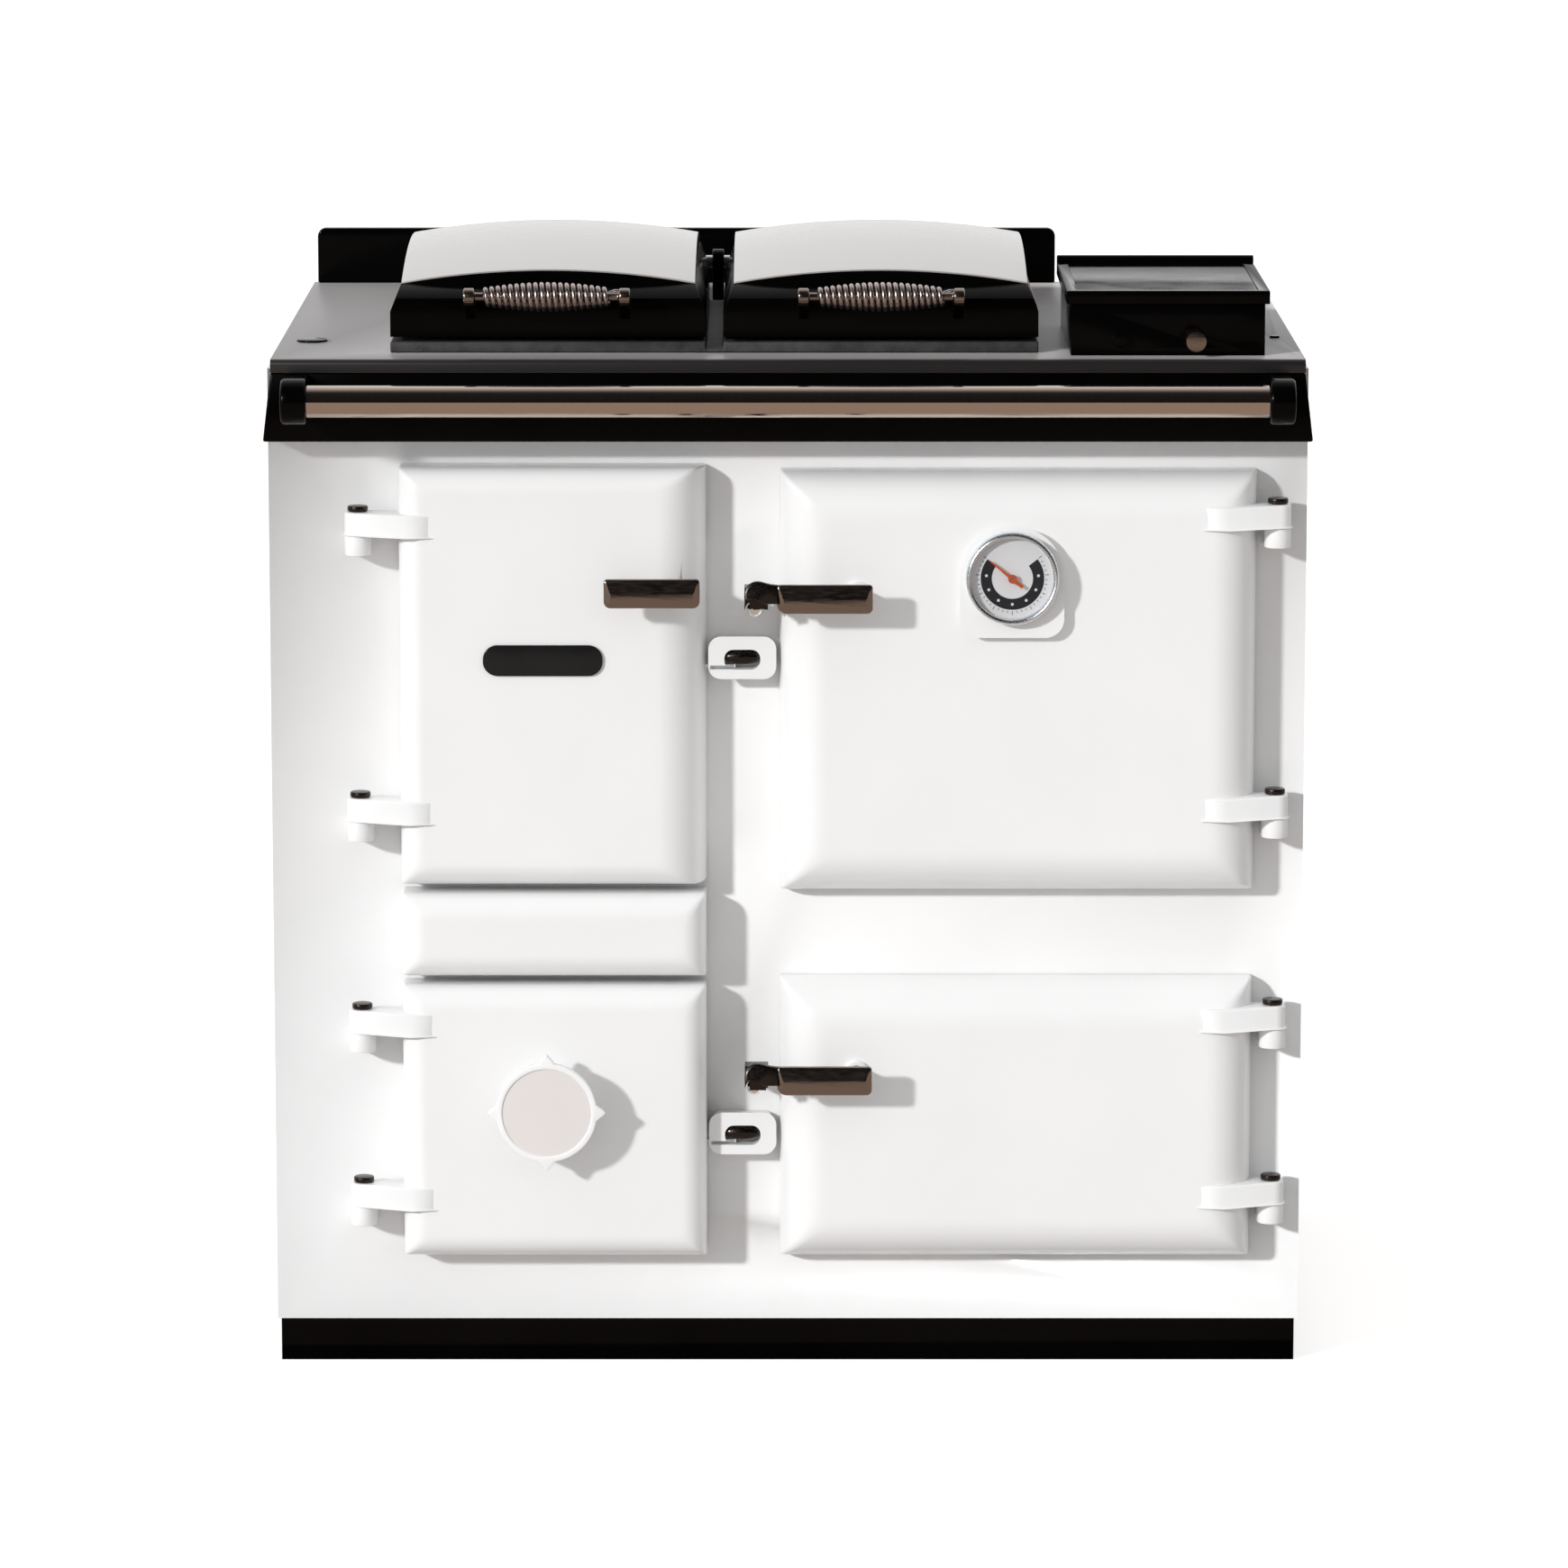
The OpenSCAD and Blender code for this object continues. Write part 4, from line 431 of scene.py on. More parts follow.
def along_y(bm, x, z):
    """Turns something that stands along Z so that it lies along Y at x, z."""
    bmesh.ops.transform(bm, verts=bm.verts, matrix=Matrix.Translation((x, 0, z))
                        @ Matrix.Rotation(math.radians(-90), 4, "X"))
    return bm


def along_x(bm, y, z):
    """Turns something that stands along Z so that it lies along X at y, z."""
    bmesh.ops.transform(bm, verts=bm.verts, matrix=Matrix.Translation((0, y, z))
                        @ Matrix.Rotation(math.radians(90), 4, "Y"))
    return bm


def rod_y(x, z, r, y0, y1, edge=0.5, steps=48):
    """A round rod along Y with its ends chamfered."""
    return along_y(turned([(r - edge, y0), (r, y0 + edge), (r, y1 - edge), (r - edge, y1)],
                          steps), x, z)


# ------------------------------------------------------ plain rounded copies

# Nodes that need only rounded edges, and how wide the rounding is.
ROUNDED = {
    "plinth": 1.0, "front_panel": 1.2, "fascia": 2.0, "hob_plate": 1.2,
    "hob_fixings": 0.6, "rear_upstand": 2.0, "handrail_brackets": 3.0, "hotplate": 1.5,
    "lid_hinge_posts": 1.2, "lid_hinge_rod": 1.0, "flue_box": 2.0, "flue_box_cover": 1.6,
    "flue_spigot": 1.0, "firebox_casting": 1.5, "firebricks": 1.5, "grate_frame": 1.2,
    "ashpan": 0.5, "main_oven": 1.5, "lower_oven": 1.5, "hinge_lugs": 2.5, "hinge_pins": 1.2,
    "riddling_grate": 1.0, "flue_damper": 1.0, "wheel_stud": 0.6, "wheel_washer": 0.5,
    "left_lid": 2.5, "right_lid": 2.5, "oval_plate": 0.8,
    "left_handle_mount": 1.6, "right_handle_mount": 1.6,
    "left_lid_cover": 0.5, "right_lid_cover": 0.5,
}
OWN_SHEEN = {"hob_plate": hob_black, "hinge_pins": pin_steel, "left_lid_cover": cover_steel,
             "right_lid_cover": cover_steel}
NODES["oven_catches"].data.materials[0] = bright
for node, width in ROUNDED.items():
    stand_in(node, bevel_edges(solid_of(node), width), OWN_SHEEN.get(node))


# ------------------------------------------------------------------- doors

FACE_Y = box("centre_panel")[0][1]
FRONT_Y = box("front_panel")[0][1]
RIM_Y = box("firebox_door")[1][1]
FIT = 0.05
SLOT_FIT = 0.1
OVERCUT = 1
SUNK = 1
DOOR_SMOOTH = 50
DOOR_WALL = 5
LINER_RIM = DOOR_WALL + 0.3
RIM_EDGE = 0.8
RIM_CORNER = 2.5
CORNER_GROWTH = 0.22
FLAT_IN = 2
SIDE_POINTS = 15
FACE_STEP, CAVITY_STEP = 6, 15
NEAR_SHARE, NEAR_MOST = 0.2, 1.2
ROLL_WIDE, ROLL_FIREBOX, ROLL_NARROW = 41, 43, 22
ARM_H, ARM_L, ARM_KNEE, ARM_PROUD, ARM_EDGE = 21, 66, 0.68, 3, 2.0
PIN_R = 5
BARREL_R = 12
LUG_BELOW_ARM = 18.4
SPINDLE_R = 7
SPINDLE_IN = 14
NOSE_RISE = 3
GRIP_H, GRIP_L, GRIP_T = 26, 86, 9
BOSS_R, BOSS_H, BOSS_EDGE = 11, 5, 1.5
INLET_R = 28
ROPE_DEEP, LINER_EDGE, ROPE_EDGE = 8, 1.0, 2.2
POST_R = SPINDLE_R - 1
POST_DEEP = 24
HANDLE_LOW, HANDLE_HIGH = box("firebox_handle")
POSTS_X = (HANDLE_LOW[0] + SPINDLE_IN, HANDLE_HIGH[0] - SPINDLE_IN)
HANDLE_Z = middle_of(HANDLE_LOW, HANDLE_HIGH)[1]
WHEEL_X, WHEEL_Z = middle_of(*box("wheel_washer"))
GAUGE_LOW, GAUGE_HIGH = box("gauge_case")
GAUGE_X, GAUGE_Z = middle_of(GAUGE_LOW, GAUGE_HIGH)
GAUGE_R = (GAUGE_HIGH[0] - GAUGE_LOW[0]) / 2
PAD_R = GAUGE_R + 2
PAD_DROP, PAD_CORNER, PAD_EDGE = 52, 14, 3.0


def door_box(node):
    """Left, right, lower and upper edge of a door, from its liner."""
    low, high = box(node + "_liner")
    return low[0] - LINER_RIM, high[0] + LINER_RIM, low[2] - LINER_RIM, high[2] + LINER_RIM


def inset(r, h):
    """How far a rolled edge of radius r stands in at depth h behind the face."""
    return r - math.sqrt(r * r - (r - h) ** 2) if h < r else 0.0


def roll_depths(rolls, step):
    """Depths at which rolled edges turn by equal steps."""
    return [r * (1 - math.sin(math.radians(a))) for r in set(rolls) for a in range(0, 91, step)]


def door_ring(edges, depth, steps_in, corner=RIM_CORNER):
    """A casting's outline at a depth; steps_in: left, right, lower and upper edge."""
    x0, x1, z0, z1 = edges
    left, right, low, up = steps_in
    return upright(round_box(x0 + left, x1 - right, z0 + low, z1 - up, [corner] * 4,
                             between=SIDE_POINTS), FACE_Y + depth)


def cavity_rings(edges, rolls):
    """Rings of the hollow behind the face, from its floor to its mouth."""
    inner = [r - DOOR_WALL for r in rolls]
    rings = [door_ring(edges, DOOR_WALL, [r + FLAT_IN for r in rolls])]
    for h in sorted({round(h, 3) for h in roll_depths(inner, CAVITY_STEP)}):
        rings.append(door_ring(edges, DOOR_WALL + h, [inset(r, h) + DOOR_WALL for r in inner]))
    return rings


def face_rings(edges, deep, rolls):
    """Rings of the outside, from the rim to the flat face, without those that lie too near."""
    depths = [deep - RIM_EDGE]
    for h in sorted(roll_depths(rolls, FACE_STEP), reverse=True):
        if depths[-1] - h > min(NEAR_SHARE * h, NEAR_MOST) + 0.001:
            depths.append(h)
    steps = [(h, [inset(r, h) for r in rolls]) for h in depths]
    rings = [door_ring(edges, h, steps_in, RIM_CORNER + CORNER_GROWTH * sum(steps_in) / 4)
             for h, steps_in in steps]
    rings.append(door_ring(edges, 0, [r + FLAT_IN for r in rolls],
                           RIM_CORNER + CORNER_GROWTH * sum(rolls) / 4))
    return rings


def pillow(edges, rim_y, rolls):
    """A hollow casting with rolled edges; rolls: left, right, lower and upper edge."""
    deep = rim_y - FACE_Y
    rim = [door_ring(edges, deep, [DOOR_WALL] * 4), door_ring(edges, deep, [RIM_EDGE] * 4)]
    return loft(cavity_rings(edges, rolls) + rim + face_rings(edges, deep, rolls))


def hinge_arm(px, py, z, edge, side):
    """An arm from the barrel round its pin to the door's face, bored for the pin."""
    plan = arc(px, py, BARREL_R, 16, 90, side * 180)
    plan += [(px + side * ARM_KNEE * ARM_L, FACE_Y - ARM_PROUD), (px + side * ARM_L, FACE_Y),
             (px + side * ARM_L, FACE_Y + DOOR_WALL), (edge + side * DOOR_WALL, py + BARREL_R)]
    arm = bevel_edges(loft([[(x, y, z) for x, y in plan],
                            [(x, y, z + ARM_H) for x, y in plan]]), ARM_EDGE, PLATE_EDGE_ANGLE)
    bore = turned([(PIN_R + FIT, z - OVERCUT), (PIN_R + FIT, z + ARM_H + OVERCUT)])
    bmesh.ops.translate(bore, verts=bore.verts, vec=(px, py, 0))
    return carve(arm, bore)


def hinge_arms(edges, side):
    """The two arms of a door; side is 1 for a door right of its pins."""
    x0, x1, z0, z1 = edges
    edge = x0 if side > 0 else x1
    arms = []
    for low, high in solids("hinge_pins"):
        px, py = (low[0] + high[0]) / 2, (low[1] + high[1]) / 2
        z = low[2] + LUG_BELOW_ARM
        if side * (edge - px) >= 0 and abs(edge - px) <= ARM_L and z0 < z < z1:
            arms.append(hinge_arm(px, py, z, edge, side))
    return arms


def tongue_of(node):
    """The steel tongue in a left door's edge."""
    return solid_of(node, lambda low, high: high[2] - low[2] < ARM_H)


def slot_for(node):
    """Cutter of the slot that holds a left door's tongue."""
    tongue = tongue_of(node)
    low, high = corners([v.co.copy() for v in tongue.verts])
    tongue.free()
    x0, x1 = door_box(node)[1] - DOOR_WALL, door_box(node)[1] + OVERCUT
    z0, z1 = low[2] - SLOT_FIT, high[2] + SLOT_FIT
    return plate_y([(x0, z0), (x1, z0), (x1, z1), (x0, z1)],
                   low[1] - SLOT_FIT, high[1] + SLOT_FIT)


def hole(x, z, r):
    """Cutter of a round hole through a door's face."""
    return rod_y(x, z, r, FACE_Y - OVERCUT, FACE_Y + DOOR_WALL + OVERCUT, 0)


def boss(x, z):
    """The raised ring round a handle's spindle."""
    y0, y1, r_in = FACE_Y - BOSS_H, FACE_Y + SUNK, SPINDLE_R + FIT
    profile = [(r_in, y1), (r_in, y0), (BOSS_R - BOSS_EDGE, y0),
               (BOSS_R - 0.3 * BOSS_EDGE, y0 + 0.3 * BOSS_EDGE), (BOSS_R, y0 + BOSS_EDGE),
               (BOSS_R, y1)]
    return along_y(loft(turn_rings(profile), closed=True), x, z)


def lever_place(handle):
    """The place of an oven handle's spindle; its height is the grip's middle too."""
    low, high = box(handle)
    return high[0] - SPINDLE_IN, high[2] - NOSE_RISE - GRIP_H / 2


def oven_door(node, handle, *extra):
    """An oven door: casting, boss and hinge arms, with any extra parts."""
    edges = door_box(node)
    x, z = lever_place(handle)
    shell = carve(pillow(edges, RIM_Y, [ROLL_WIDE] * 4), hole(x, z, SPINDLE_R + FIT))
    stand_in(node, merge(shell, boss(x, z), *hinge_arms(edges, -1), *extra),
             smooth_below=DOOR_SMOOTH)


def left_door(node, rolls, *holes):
    """A left door: casting with its holes, the tongue in its slot and hinge arms."""
    edges = door_box(node)
    shell = carve(pillow(edges, RIM_Y, rolls), slot_for(node), *holes)
    stand_in(node, merge(shell, tongue_of(node), *hinge_arms(edges, 1)),
             smooth_below=DOOR_SMOOTH)


def centre_panel():
    """The fixed panel between the left doors."""
    low, high = box("centre_panel")
    stand_in("centre_panel", pillow((low[0], high[0], low[2], high[2]), FRONT_Y,
                                    [ROLL_NARROW] * 4), smooth_below=DOOR_SMOOTH)


def gauge_pad():
    """The raised pad under the thermometer: round above, square below."""
    x0, x1 = GAUGE_X - PAD_R + PAD_CORNER, GAUGE_X + PAD_R - PAD_CORNER
    z = GAUGE_Z - PAD_DROP + PAD_CORNER
    outline = arc(GAUGE_X, GAUGE_Z, PAD_R, 40, 0, 180)
    outline += arc(x0, z, PAD_CORNER, 8, 180, 90) + arc(x1, z, PAD_CORNER, 8, 270, 90)
    return plate_y(outline, GAUGE_HIGH[1], FACE_Y + SUNK, PAD_EDGE, segments=4)


def liner(door):
    """A door's liner and the rope seal in its groove."""
    node = door + "_liner"
    stand_in(node, bevel_edges(
        solid_of(node, lambda low, high: high[1] - low[1] > ROPE_DEEP), LINER_EDGE))
    beside(node, node + "_rope", bevel_edges(
        solid_of(node, lambda low, high: high[1] - low[1] < ROPE_DEEP), ROPE_EDGE, segments=4),
        "rope")


centre_panel()
oven_door("main_oven_door", "main_oven_handle", gauge_pad())
oven_door("lower_oven_door", "lower_oven_handle")
left_door("firebox_door", [ROLL_NARROW, ROLL_FIREBOX, ROLL_NARROW, ROLL_NARROW],
          *[hole(x, HANDLE_Z, POST_R + FIT) for x in POSTS_X])
left_door("ashpit_door", [ROLL_NARROW] * 4, hole(WHEEL_X, WHEEL_Z, INLET_R))
for door in ("firebox_door", "ashpit_door", "main_oven_door", "lower_oven_door"):
    liner(door)


# ----------------------------------------------------------------- handles

# Depth behind the grip's front, and the steps in of its left, right, lower and upper edge.
GRIP_RINGS = (
    (GRIP_T, (1, 1, 1, 1)), (GRIP_T - 1, (0, 0, 0, 0)), (3.2, (0, 0, 0, 0)),
    (2.5, (0.5, 0.5, 0.5, 0.7)), (1.9, (1.6, 1.6, 1.6, 2.4)), (1.3, (3.4, 3.4, 3.0, 6)),
    (0.4, (5.0, 5.0, 4.4, 11)), (0, (6.0, 6.0, 5.4, 12.6)),
)
GRIP_SMOOTH = 45
GRIP_CORNER = 0.6
LEVER_CORNERS = (3, 3, 9, 5)
FIXED_CORNERS = (3, 3, 6, 6)
NOSE_R = 12
NOSE_LOW = 0.5
NOSE_THROAT = 4
NOSE_LEAN = 0.14
# The nose's points at the grip's upper left corner, and where its underside steps down.
NOSE_AT_GRIP = ((3, -0.5), (-5, 0.3))
NOSE_UNDER = (9, 18)
# Share of the nose's outline, and depth behind its front.
NOSE_RINGS = ((1, 2.0), (0.97, 0.9), (0.90, 0.2), (0.84, 0))
CATCHES = sorted(solids("oven_catches"), key=lambda part: part[0][2])
BALL_R = (CATCHES[0][1][0] - CATCHES[0][0][0]) / 2
HOOK_WALL = 2
HOOK_CLEAR = 1.6
HOOK_RISE = 1
HOOK_RIGHT = 12
HOOK_BACK = 3
LINK_EDGE = 1.5
COLLAR_T = 5
COLLAR_GAP = 0.4


def grip(x0, x1, z0, z1, y0, radii):
    """A grip whose upper part leans back from a flat lower part."""
    rings = []
    for depth, (left, right, low, up) in GRIP_RINGS:
        shrink = (left + right + low + up) / 4
        rings.append(upright(round_box(x0 + left, x1 - right, z0 + low, z1 - up,
                                       [max(r - shrink, GRIP_CORNER) for r in radii]),
                             y0 + depth))
    return loft(rings)


def nose(left, x1, z, top, y0):
    """The rounded end of a lever beyond its grip; its upper part leans back."""
    throat = z - NOSE_THROAT
    outline = [(x1 + NOSE_AT_GRIP[0][0], throat)] + [(x1 + a, top + b) for a, b in NOSE_AT_GRIP]
    outline += arc(left + NOSE_R, top + NOSE_RISE - NOSE_R, NOSE_R, 12, 75, 105)
    outline += [(left, z + NOSE_LOW), (left + NOSE_UNDER[0], z + NOSE_LOW),
                (left + NOSE_UNDER[1], throat)]
    mid_x, mid_z = (left + x1) / 2, (throat + top) / 2

    def ring(scale, depth):
        """The outline drawn in about its middle, leaning back above the throat."""
        return [(mid_x + (px - mid_x) * scale, y0 + depth + NOSE_LEAN * max(pz - throat, 0),
                 mid_z + (pz - mid_z) * scale) for px, pz in outline]

    return loft([upright(outline, y0 + GRIP_T)] + [ring(*step) for step in NOSE_RINGS])


def link(left, top, y0, y1):
    """The short bar from the nose back to the hook."""
    x0, x1 = left + NOSE_R / 2, left + NOSE_R * 1.5
    return plate_y([(x0, top - NOSE_R), (x1, top - NOSE_R), (x1, top), (x0, top)],
                   y0, y1, LINK_EDGE)


def hook(left, top, ball_x, ball_y, ball_z):
    """The hook over a catch's ball, bored through for it."""
    low, right = ball_z + HOOK_RISE, ball_x + HOOK_RIGHT
    clear = BALL_R + HOOK_CLEAR
    dip = math.degrees(math.asin(HOOK_RISE / clear))
    outline = [(left, low), (left, top), (right, top), (right, low)]
    outline += arc(ball_x, ball_z, clear, 20, dip, 180 - 2 * dip)
    return plate_y(outline, ball_y - BALL_R - HOOK_WALL, ball_y + BALL_R + HOOK_BACK)


def lever(node, catch):
    """An oven door's handle: a hook piece, and the grip with its spindle and collar."""
    low, high = box(node)
    x, z = lever_place(node)
    left, y0 = low[0], low[1]
    grip_x0, top = high[0] - GRIP_L, z + GRIP_H / 2
    ball_x, ball_z = middle_of(*catch)
    ball_y = catch[0][1] + BALL_R
    hook_top = ball_z + BALL_R + HOOK_WALL + NOSE_R
    collar_y = FACE_Y + DOOR_WALL + COLLAR_GAP
    beside(node, node + "_hook", merge(
        nose(left, grip_x0, z, top, y0), link(left, hook_top, y0 + GRIP_T - SUNK, ball_y - BALL_R),
        hook(left, hook_top, ball_x, ball_y, ball_z)), mat=pin_steel)
    stand_in(node, merge(
        grip(grip_x0, high[0], z - GRIP_H / 2, top, y0, LEVER_CORNERS),
        rod_y(x, z, SPINDLE_R, y0 + GRIP_T - SUNK, collar_y + COLLAR_T),
        rod_y(x, z, BOSS_R, collar_y, collar_y + COLLAR_T)), smooth_below=GRIP_SMOOTH)


def firebox_handle():
    """The firebox door's fixed handle: a grip on two posts."""
    low, high = HANDLE_LOW, HANDLE_HIGH
    posts = [rod_y(x, HANDLE_Z, POST_R, low[1] + GRIP_T - SUNK, FACE_Y + POST_DEEP)
             for x in POSTS_X]
    stand_in("firebox_handle", merge(
        grip(low[0], high[0], low[2], high[2], low[1], FIXED_CORNERS), *posts),
        smooth_below=GRIP_SMOOTH)


lever("lower_oven_handle", CATCHES[0])
lever("main_oven_handle", CATCHES[-1])
firebox_handle()


# ------------------------------------------------------- keepers and rollers

KEEPER_WALL = 12
KEEPER_BACK = 6
KEEPER_CORNER, KEEPER_EDGE, KEEPER_SMOOTH = 9, 2.5, 45
POCKET_LOW, POCKET_UP, POCKET_CORNER = 10.8, 7.4, 8
WAY_IN = 6
ROLLER_R, ROLLER_TIP, ROLLER_FALL = 7, 2.4, 0.98
JOURNAL_R, JOURNAL_L, JOURNAL_EDGE = 2.5, 6, 0.3
ROLLER_STEPS = 24
ROLLER_Y = (box("upper_roller")[0][1] + box("upper_roller")[1][1]) / 2


def keeper(low, high):
    """A keeper: block, oval pocket, way for the door's tongue and the roller's bore."""
    x0, x1 = low[0] + KEEPER_WALL, high[0] - KEEPER_WALL
    y0, y1 = low[1] - OVERCUT, high[1] - KEEPER_BACK
    z = (low[2] + high[2]) / 2
    block = plate_y(round_box(low[0], high[0], low[2], high[2], [KEEPER_CORNER] * 4),
                    low[1], high[1], KEEPER_EDGE)
    pocket = plate_y(round_box(x0, x1, z - POCKET_LOW, z + POCKET_UP, [POCKET_CORNER] * 4),
                     y0, y1)
    way = plate_y([(low[0] - OVERCUT, z - POCKET_LOW), (x0 + WAY_IN, z - POCKET_LOW),
                   (x0 + WAY_IN, z - ROLLER_R), (low[0] - OVERCUT, z - ROLLER_R)], y0, y1)
    bore = along_x(turned([(JOURNAL_R + FIT, x0 - JOURNAL_L), (JOURNAL_R + FIT, x1 + JOURNAL_L)]),
                   ROLLER_Y, z)
    return carve(block, pocket, way, bore)


def roller(node):
    """A barrel-shaped roller between two journals."""
    low, high = box(node)
    y, z = (low[1] + high[1]) / 2, (low[2] + high[2]) / 2
    x0, x1 = low[0] + JOURNAL_L, high[0] - JOURNAL_L
    half, middle = (x1 - x0) / 2, (x0 + x1) / 2
    tip = JOURNAL_R - JOURNAL_EDGE
    profile = [(tip, low[0]), (JOURNAL_R, low[0] + JOURNAL_EDGE), (JOURNAL_R, x0)]
    for i in range(ROLLER_STEPS + 1):
        u = -1 + 2 * i / ROLLER_STEPS
        profile.append((ROLLER_TIP + (ROLLER_R - ROLLER_TIP) * math.sqrt(1 - ROLLER_FALL * u * u),
                        middle + half * u))
    profile += [(JOURNAL_R, x1), (JOURNAL_R, high[0] - JOURNAL_EDGE), (tip, high[0])]
    stand_in(node, along_x(turned(profile), y, z), pin_steel)


stand_in("roller_keepers", merge(*[keeper(*part) for part in solids("roller_keepers")]),
         smooth_below=KEEPER_SMOOTH)
for node in ("upper_roller", "lower_roller"):
    roller(node)


# -------------------------------------------------------------- thermometer

GAUGE_Y = GAUGE_LOW[1]
BEZEL_IN = GAUGE_R - 5
DIAL_T, DIAL_EDGE = 0.4, 0.1
DIAL_Y = GAUGE_Y + 8
AXLE_R, AXLE_FRONT, AXLE_EDGE = 1.5, 2.4, 0.3
INK_T, INK_BACK, INK_EDGE = 0.15, 0.3, 0.05
# Radius and depth behind the gauge's front, from the side over the bezel to the dial.
BEZEL = ((GAUGE_R - 0.1, 3.4), (GAUGE_R - 0.5, 1.8), (GAUGE_R - 1.5, 0.5), (GAUGE_R - 2.6, 0),
         (GAUGE_R - 3.6, 0.2), (BEZEL_IN + 0.5, 1.0), (BEZEL_IN, 2.2))
GLASS = ((0, 0.9), (BEZEL_IN * 0.7, 1.0), (BEZEL_IN - 0.2, 1.3), (BEZEL_IN - 0.2, 1.9), (0, 1.9))
BAND_IN, BAND_OUT = 18.5, 28.5
BAND_START, BAND_SWEEP = 142, 256
TICKS, TICKS_PER_DOT = 32, 4
TICK_GAP, TICK_WIDE, TICK_SHORT, TICK_LONG = 1.2, 1.0, 3.0, 4.6
DOT_R = 1.3


def gauge_case():
    """The case with its bezel and the floor that carries the dial."""
    back = GAUGE_HIGH[1]
    profile = [(0, back), (GAUGE_R - 0.5, back), (GAUGE_R - 0.1, back - 0.6)]
    profile += [(r, GAUGE_Y + depth) for r, depth in BEZEL] + [(BEZEL_IN, DIAL_Y), (0, DIAL_Y)]
    stand_in("gauge_case", along_y(turned(profile, BEZEL_STEPS), GAUGE_X, GAUGE_Z), chrome)


def on_gauge(name, bm, slot=None, mat=None):
    """A piece that rides on the gauge's case."""
    beside("gauge_case", name, bm, slot, mat)


def arc_mark(r_in, r_out, start, sweep, steps=60):
    """A flat printed mark on the dial, from start degrees anticlockwise of the right."""
    outline = arc(GAUGE_X, GAUGE_Z, r_out, steps, start, sweep)
    outline += reversed(arc(GAUGE_X, GAUGE_Z, r_in, steps, start, sweep))
    return plate_y(outline, DIAL_Y - DIAL_T - INK_T, DIAL_Y - INK_BACK)


def tick(i):
    """A tick outside the band; it is longer beside a dot."""
    at = BAND_START + BAND_SWEEP * i / TICKS
    length = TICK_SHORT if i % TICKS_PER_DOT else TICK_LONG
    return arc_mark(BAND_OUT + TICK_GAP, BAND_OUT + length, at - TICK_WIDE / 2, TICK_WIDE, 2)


def dot(i):
    """A white dot on the band, beside a long tick."""
    at = math.radians(BAND_START + BAND_SWEEP * i * TICKS_PER_DOT / TICKS)
    r = (BAND_IN + BAND_OUT) / 2
    return rod_y(GAUGE_X + r * math.cos(at), GAUGE_Z + r * math.sin(at), DOT_R,
                 DIAL_Y - DIAL_T - 2 * INK_T, DIAL_Y - INK_BACK, INK_EDGE, steps=16)


gauge_case()
on_gauge("gauge_axle", rod_y(GAUGE_X, GAUGE_Z, AXLE_R, GAUGE_Y + AXLE_FRONT, DIAL_Y, AXLE_EDGE))
on_gauge("gauge_glass", along_y(turned([(r, GAUGE_Y + depth) for r, depth in GLASS], FINE_STEPS),
                                GAUGE_X, GAUGE_Z), "gauge_glass")
on_gauge("gauge_dial", rod_y(GAUGE_X, GAUGE_Z, BEZEL_IN - 0.1, DIAL_Y - DIAL_T, DIAL_Y,
                             DIAL_EDGE, FINE_STEPS), "dial")
on_gauge("gauge_band", arc_mark(BAND_IN, BAND_OUT, BAND_START, BAND_SWEEP), "dial", ink)
on_gauge("gauge_ticks", merge(*[tick(i) for i in range(TICKS + 1)]), "dial", ink)
on_gauge("gauge_dots", merge(*[dot(i) for i in range(1, TICKS // TICKS_PER_DOT)]), "dial")


# ---------------------------------------------------------------- air wheel

WHEEL_R = 45.5
WHEEL_RIM = 5
WHEEL_DISH = 1.5
WHEEL_EDGE = 0.9
FACE_T, FACE_EDGE = 0.3, 0.1


def air_wheel():
    """The wheel with a rounded rim, and a blush disc in its dish."""
    dish_y = box("air_wheel")[0][1] + WHEEL_DISH
    stand_in("air_wheel", bevel_edges(solid_of("air_wheel"), WHEEL_EDGE), pearl)
    beside("air_wheel", "air_wheel_face",
           rod_y(WHEEL_X, WHEEL_Z, WHEEL_R - WHEEL_RIM - 0.1, dish_y - FACE_T, dish_y,
                 FACE_EDGE, FINE_STEPS), mat=blush)


air_wheel()


# ------------------------------------------------------------- wound handles

WIRE_D, WIRE_SIDES = 4.4, 12
TURNS, TURN_STEPS = 20, 24
ROD_D = 8
END_GAP = 0.4
COIL_D = 27
BEND = 20
COIL_SMOOTH = 60


def coil_path(bracket):
    """Centre line of the wire as (place along X, degrees, radius), swelling in the middle."""
    half = bracket - 2 * WIRE_D
    end_r = (ROD_D + WIRE_D) / 2 + END_GAP
    mid_r = (COIL_D - WIRE_D) / 2
    steps = TURNS * TURN_STEPS
    path = [(-bracket, 0, end_r), (-bracket + WIRE_D, 0, end_r)]
    for i in range(steps + 1):
        u = -half + 2 * half * i / steps
        path.append((u, BEND + 360 * i / TURN_STEPS,
                     end_r + (mid_r - end_r) * math.cos(math.pi / 2 * u / half)))
    last_turn = 2 * BEND + 360 * TURNS
    return path + [(bracket - WIRE_D, last_turn, end_r), (bracket, last_turn, end_r)]


def wire_ring(at, ahead, degrees):
    """Round section of the wire at a point, square to its way ahead."""
    out = Vector((0, math.cos(math.radians(degrees)), math.sin(math.radians(degrees))))
    out = (out - out.dot(ahead) * ahead).normalized()
    side = ahead.cross(out)
    round_it = [math.tau * k / WIRE_SIDES for k in range(WIRE_SIDES)]
    return [at + WIRE_D / 2 * (out * math.cos(a) + side * math.sin(a)) for a in round_it]


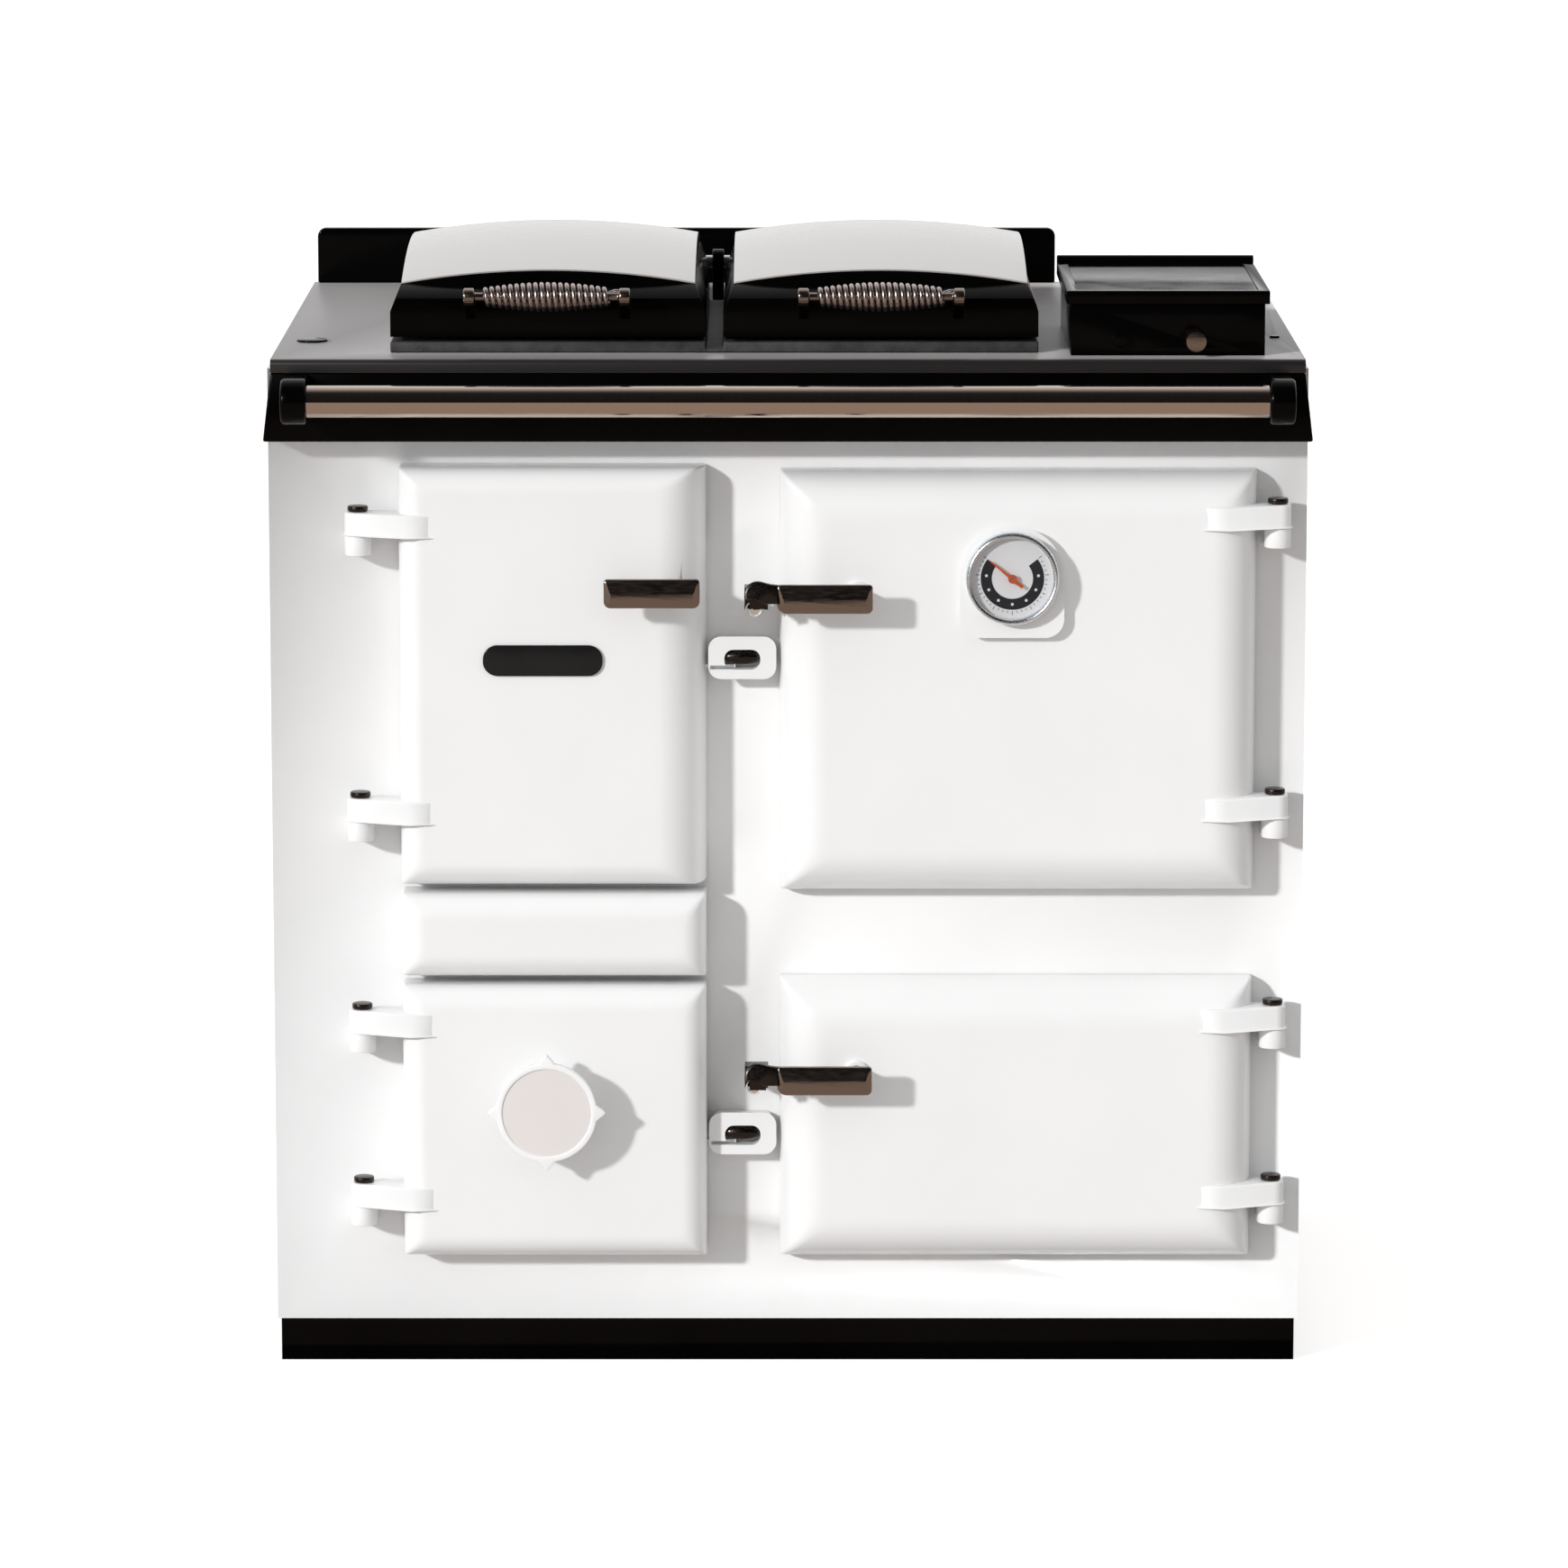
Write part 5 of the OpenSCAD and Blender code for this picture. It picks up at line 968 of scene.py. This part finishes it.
def coil(node):
    """The wound wire of a lid's handle as round wire."""
    low, high = box(node)
    middle = Vector([(a + b) / 2 for a, b in zip(low, high)])
    path = coil_path((high[0] - low[0]) / 2)
    points = [Vector((u, r * math.cos(math.radians(a)), r * math.sin(math.radians(a))))
              for u, a, r in path]
    rings = []
    for i, point in enumerate(points):
        ahead = points[min(i + 1, len(points) - 1)] - points[max(i - 1, 0)]
        straight = i < 2 or i > len(path) - 3
        ahead = Vector((1, 0, 0)) if straight else ahead.normalized()
        rings.append(wire_ring(middle + point, ahead, path[i][1]))
    stand_in(node, loft(rings), smooth_below=COIL_SMOOTH)


for node in ("left_coil", "right_coil"):
    coil(node)


# ------------------------------------------------------- stage, light, camera

WHITE = (1, 1, 1, 1)
AMBIENT = 0.67
# How bright the studio looks in shiny things, from behind the camera (0) to the wall (1).
ROOM = ((0.0, 0.012), (0.27, 0.02), (0.40, 0.07), (0.50, 0.25), (0.65, 0.62), (0.80, 1.0))
SOFTBOX_WAY = (-0.60, -0.72, 0.35)
SOFTBOX_R, SOFTBOX_SOFT = 20, 2
SUN_POWER, SUN_ANGLE, SUN_WAY = 2.2, 4.0, (1.0, 1.0, -0.5)
FLOOR_HALF = 30
FLOOR_COLOR = (0.52, 0.50, 0.49, 1)
FLOOR_GLOW = 0.72
FLOOR_IN_METAL = (0.46, 0.37, 0.31, 1)
CAMERA_AT = (-0.00762, -6.74834, 1.71398)
LOOK_DOWN = 9.314
LENS, SENSOR = 165.14, 36
SHIFT_X, SHIFT_Y = 0.0029, -0.08
CLIP = (0.1, 200)


def math_node(tree, operation, a, b):
    """A math node of a socket and of another socket or a number; returns its result."""
    node = tree.nodes.new("ShaderNodeMath")
    node.operation = operation
    tree.links.new(a, node.inputs[0])
    if isinstance(b, float):
        node.inputs[1].default_value = b
    else:
        tree.links.new(b, node.inputs[1])
    return node.outputs[0]


def glowing(tree, kind, color=WHITE, strength=1.0):
    """A background or emission node."""
    node = tree.nodes.new(kind)
    node.inputs["Color"].default_value = color
    node.inputs["Strength"].default_value = strength
    return node


def choose(tree, fac, no, yes):
    """Shader that is no where fac is 0 and yes where it is 1."""
    node = tree.nodes.new("ShaderNodeMixShader")
    for socket, source in zip(node.inputs, (fac, no, yes)):
        tree.links.new(source, socket)
    return node.outputs[0]


def studio(tree):
    """What shiny things see: dark behind the camera, bright at the wall, and a softbox."""
    way = tree.nodes.new("ShaderNodeTexCoord").outputs["Generated"]
    split = tree.nodes.new("ShaderNodeSeparateXYZ")
    tree.links.new(way, split.inputs[0])
    room = ramp(tree, remap(tree, split.outputs["Y"], -1, 1), [(at, (v, v, v)) for at, v in ROOM])
    facing = tree.nodes.new("ShaderNodeVectorMath")
    facing.operation = "DOT_PRODUCT"
    facing.inputs[1].default_value = Vector(SOFTBOX_WAY).normalized()
    tree.links.new(way, facing.inputs[0])
    inside = remap(tree, facing.outputs["Value"],
                   math.cos(math.radians(SOFTBOX_R + SOFTBOX_SOFT)),
                   math.cos(math.radians(SOFTBOX_R - SOFTBOX_SOFT)))
    lit = tree.nodes.new("ShaderNodeMix")
    lit.data_type = "RGBA"
    lit.inputs["B"].default_value = WHITE
    tree.links.new(inside, lit.inputs["Factor"])
    tree.links.new(room, lit.inputs["A"])
    return lit.outputs["Result"]


def world():
    """White for the camera, an even light on the object, the studio in shiny things."""
    w = bpy.data.worlds.new("studio")
    bpy.context.scene.world = w
    w.use_nodes = True
    tree = w.node_tree
    tree.nodes.clear()
    path = tree.nodes.new("ShaderNodeLightPath").outputs
    even = glowing(tree, "ShaderNodeBackground", strength=AMBIENT)
    backdrop = glowing(tree, "ShaderNodeBackground")
    seen = glowing(tree, "ShaderNodeBackground")
    tree.links.new(studio(tree), seen.inputs["Color"])
    shiny = math_node(tree, "MAXIMUM", path["Is Glossy Ray"], path["Is Transmission Ray"])
    light = choose(tree, shiny, even.outputs[0], seen.outputs[0])
    out = tree.nodes.new("ShaderNodeOutputWorld")
    tree.links.new(choose(tree, path["Is Camera Ray"], light, backdrop.outputs[0]),
                   out.inputs["Surface"])


def key_light():
    """The sun from the upper left, in front."""
    sun = added("key", bpy.data.lights.new("key", "SUN"))
    sun.data.energy = SUN_POWER
    sun.data.angle = math.radians(SUN_ANGLE)
    sun.rotation_mode = "QUATERNION"
    sun.rotation_quaternion = Vector(SUN_WAY).to_track_quat("-Z", "Y")


def floor_material():
    """White to the camera but for shadows, and a brownish floor in metal."""
    mat = bpy.data.materials.new("floor")
    mat.use_nodes = True
    tree = mat.node_tree
    tree.nodes.clear()
    path = tree.nodes.new("ShaderNodeLightPath").outputs
    diffuse = tree.nodes.new("ShaderNodeBsdfDiffuse")
    diffuse.inputs["Color"].default_value = FLOOR_COLOR
    glow = glowing(tree, "ShaderNodeEmission")
    tree.links.new(math_node(tree, "MULTIPLY", path["Is Camera Ray"], FLOOR_GLOW),
                   glow.inputs["Strength"])
    both = tree.nodes.new("ShaderNodeAddShader")
    tree.links.new(diffuse.outputs[0], both.inputs[0])
    tree.links.new(glow.outputs[0], both.inputs[1])
    mirrored = glowing(tree, "ShaderNodeEmission", FLOOR_IN_METAL)
    out = tree.nodes.new("ShaderNodeOutputMaterial")
    tree.links.new(choose(tree, path["Is Glossy Ray"], both.outputs[0], mirrored.outputs[0]),
                   out.inputs["Surface"])
    return mat


def floor():
    """A wide flat floor at the plinth's underside."""
    mesh = bpy.data.meshes.new("floor")
    bm = bmesh.new()
    bmesh.ops.create_grid(bm, x_segments=1, y_segments=1, size=FLOOR_HALF)
    bm.to_mesh(mesh)
    bm.free()
    mesh.materials.append(floor_material())
    added("floor", mesh)


def camera():
    """The photo's camera: far off, a little above, upright lines kept nearly parallel."""
    cam = added("camera", bpy.data.cameras.new("camera"))
    cam.data.sensor_width = SENSOR
    cam.data.lens = LENS
    cam.data.shift_x, cam.data.shift_y = SHIFT_X, SHIFT_Y
    cam.data.clip_start, cam.data.clip_end = CLIP
    cam.location = CAMERA_AT
    cam.rotation_euler = (math.radians(90 - LOOK_DOWN), 0, 0)
    bpy.context.scene.camera = cam
    bpy.context.scene.view_settings.view_transform = "Standard"


world()
key_light()
floor()
camera()
